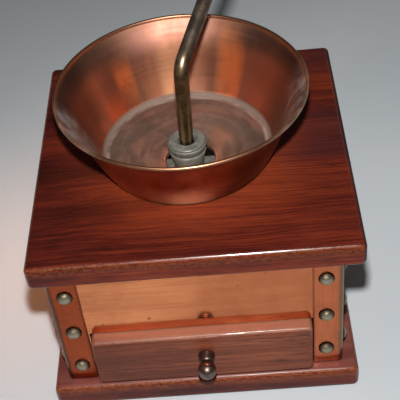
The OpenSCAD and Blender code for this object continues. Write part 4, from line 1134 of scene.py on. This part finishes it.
def floor():
    me = bpy.data.meshes.new("table_top")
    s = 2.2
    me.from_pydata([(-s, -s, -0.0002), (s, -s, -0.0002), (s, s, -0.0002), (-s, s, -0.0002)], [], [(0, 1, 2, 3)])
    ob = bpy.data.objects.new("table_top", me)
    scene.collection.objects.link(ob)
    m = Mat("table_paint")
    x, y, z = m.xyz(m.p)
    a = m.noise(m.p, 0.008, 3.0, 0.5)
    fine = m.noise(m.p, 0.06, 4.0, 0.6)
    col = m.ramp(m.math("ADD", m.math("MULTIPLY", a, 0.7), m.math("MULTIPLY", fine, 0.3)), [(0.3, (0.615, 0.700, 0.755)), (0.7, (0.660, 0.735, 0.780))])
    # painted shade: the table darker towards the front and towards the back left
    near = m.remap(y, 95.0, -80.0, 0.0, 0.42)
    col = m.mix(near, col, (0.36, 0.405, 0.435))
    far = m.remap(m.math("SUBTRACT", y, m.math("MULTIPLY", x, 0.9)), 150.0, 480.0, 0.0, 0.34)
    col = m.mix(far, col, (0.38, 0.40, 0.41))
    m.set(Base_Color=col, Roughness=0.7, Normal=m.bump(m.noise(m.p, 0.5, 3.0), 0.1, 0.1), Specular_IOR_Level=0.25)
    me.materials.append(m.m)
    return ob


floor()

F_PX = 994.888
az, el, roll = 0.05734678, 0.75196928, -0.11635980
tgt = Vector((4.572, -23.457, 90.0)) * MM
back = Vector((math.sin(az) * math.cos(el), -math.cos(az) * math.cos(el), math.sin(el)))
pos = tgt + back * 509.374 * MM
right = (-back).cross(Vector((0, 0, 1))).normalized()
upv = right.cross(-back)
r2 = right * math.cos(roll) + upv * math.sin(roll)
u2 = -right * math.sin(roll) + upv * math.cos(roll)
cam_data = bpy.data.cameras.new("view_camera")
cam_data.sensor_width = 36.0
cam_data.lens = F_PX / 400.0 * 36.0
cam_data.clip_start, cam_data.clip_end = 0.01, 50.0
cam = bpy.data.objects.new("view_camera", cam_data)
scene.collection.objects.link(cam)
rot = Matrix((r2, u2, back)).transposed().to_4x4()
cam.matrix_world = Matrix.Translation(pos) @ rot
scene.camera = cam


def area(name, at, aim, size, power, color=(1, 1, 1), shape="DISK", size_y=None):
    d = bpy.data.lights.new(name, "AREA")
    d.shape, d.size, d.energy, d.color = shape, size, power, color
    if size_y:
        d.size_y = size_y
    o = bpy.data.objects.new(name, d)
    scene.collection.objects.link(o)
    o.location = at
    o.rotation_mode = "QUATERNION"
    o.rotation_quaternion = (Vector(aim) - Vector(at)).to_track_quat("-Z", "Y")
    return o


key_at = pos - r2 * 0.004 + u2 * 0.062
area("key_light", key_at, (0.0, -0.01, 0.07), 0.022, 3.75, (1.0, 0.94, 0.91))
lamp = area("warm_lamp", (-0.50, -0.22, 0.30), (-0.09, 0.028, 0.0), 0.06, 0.042, (1.0, 0.36, 0.12))
lamp.data.spread = math.radians(30.0)
area("soft_fill", (0.9, 1.3, 0.9), (0, 0, 0.05), 0.8, 0.7, (0.85, 0.92, 1.0))

w = bpy.data.worlds.new("studio")
w.use_nodes = True
w.node_tree.nodes["Background"].inputs[0].default_value = (1.0, 0.92, 0.86, 1.0)
w.node_tree.nodes["Background"].inputs[1].default_value = 0.060
scene.world = w
scene.view_settings.view_transform = "Standard"
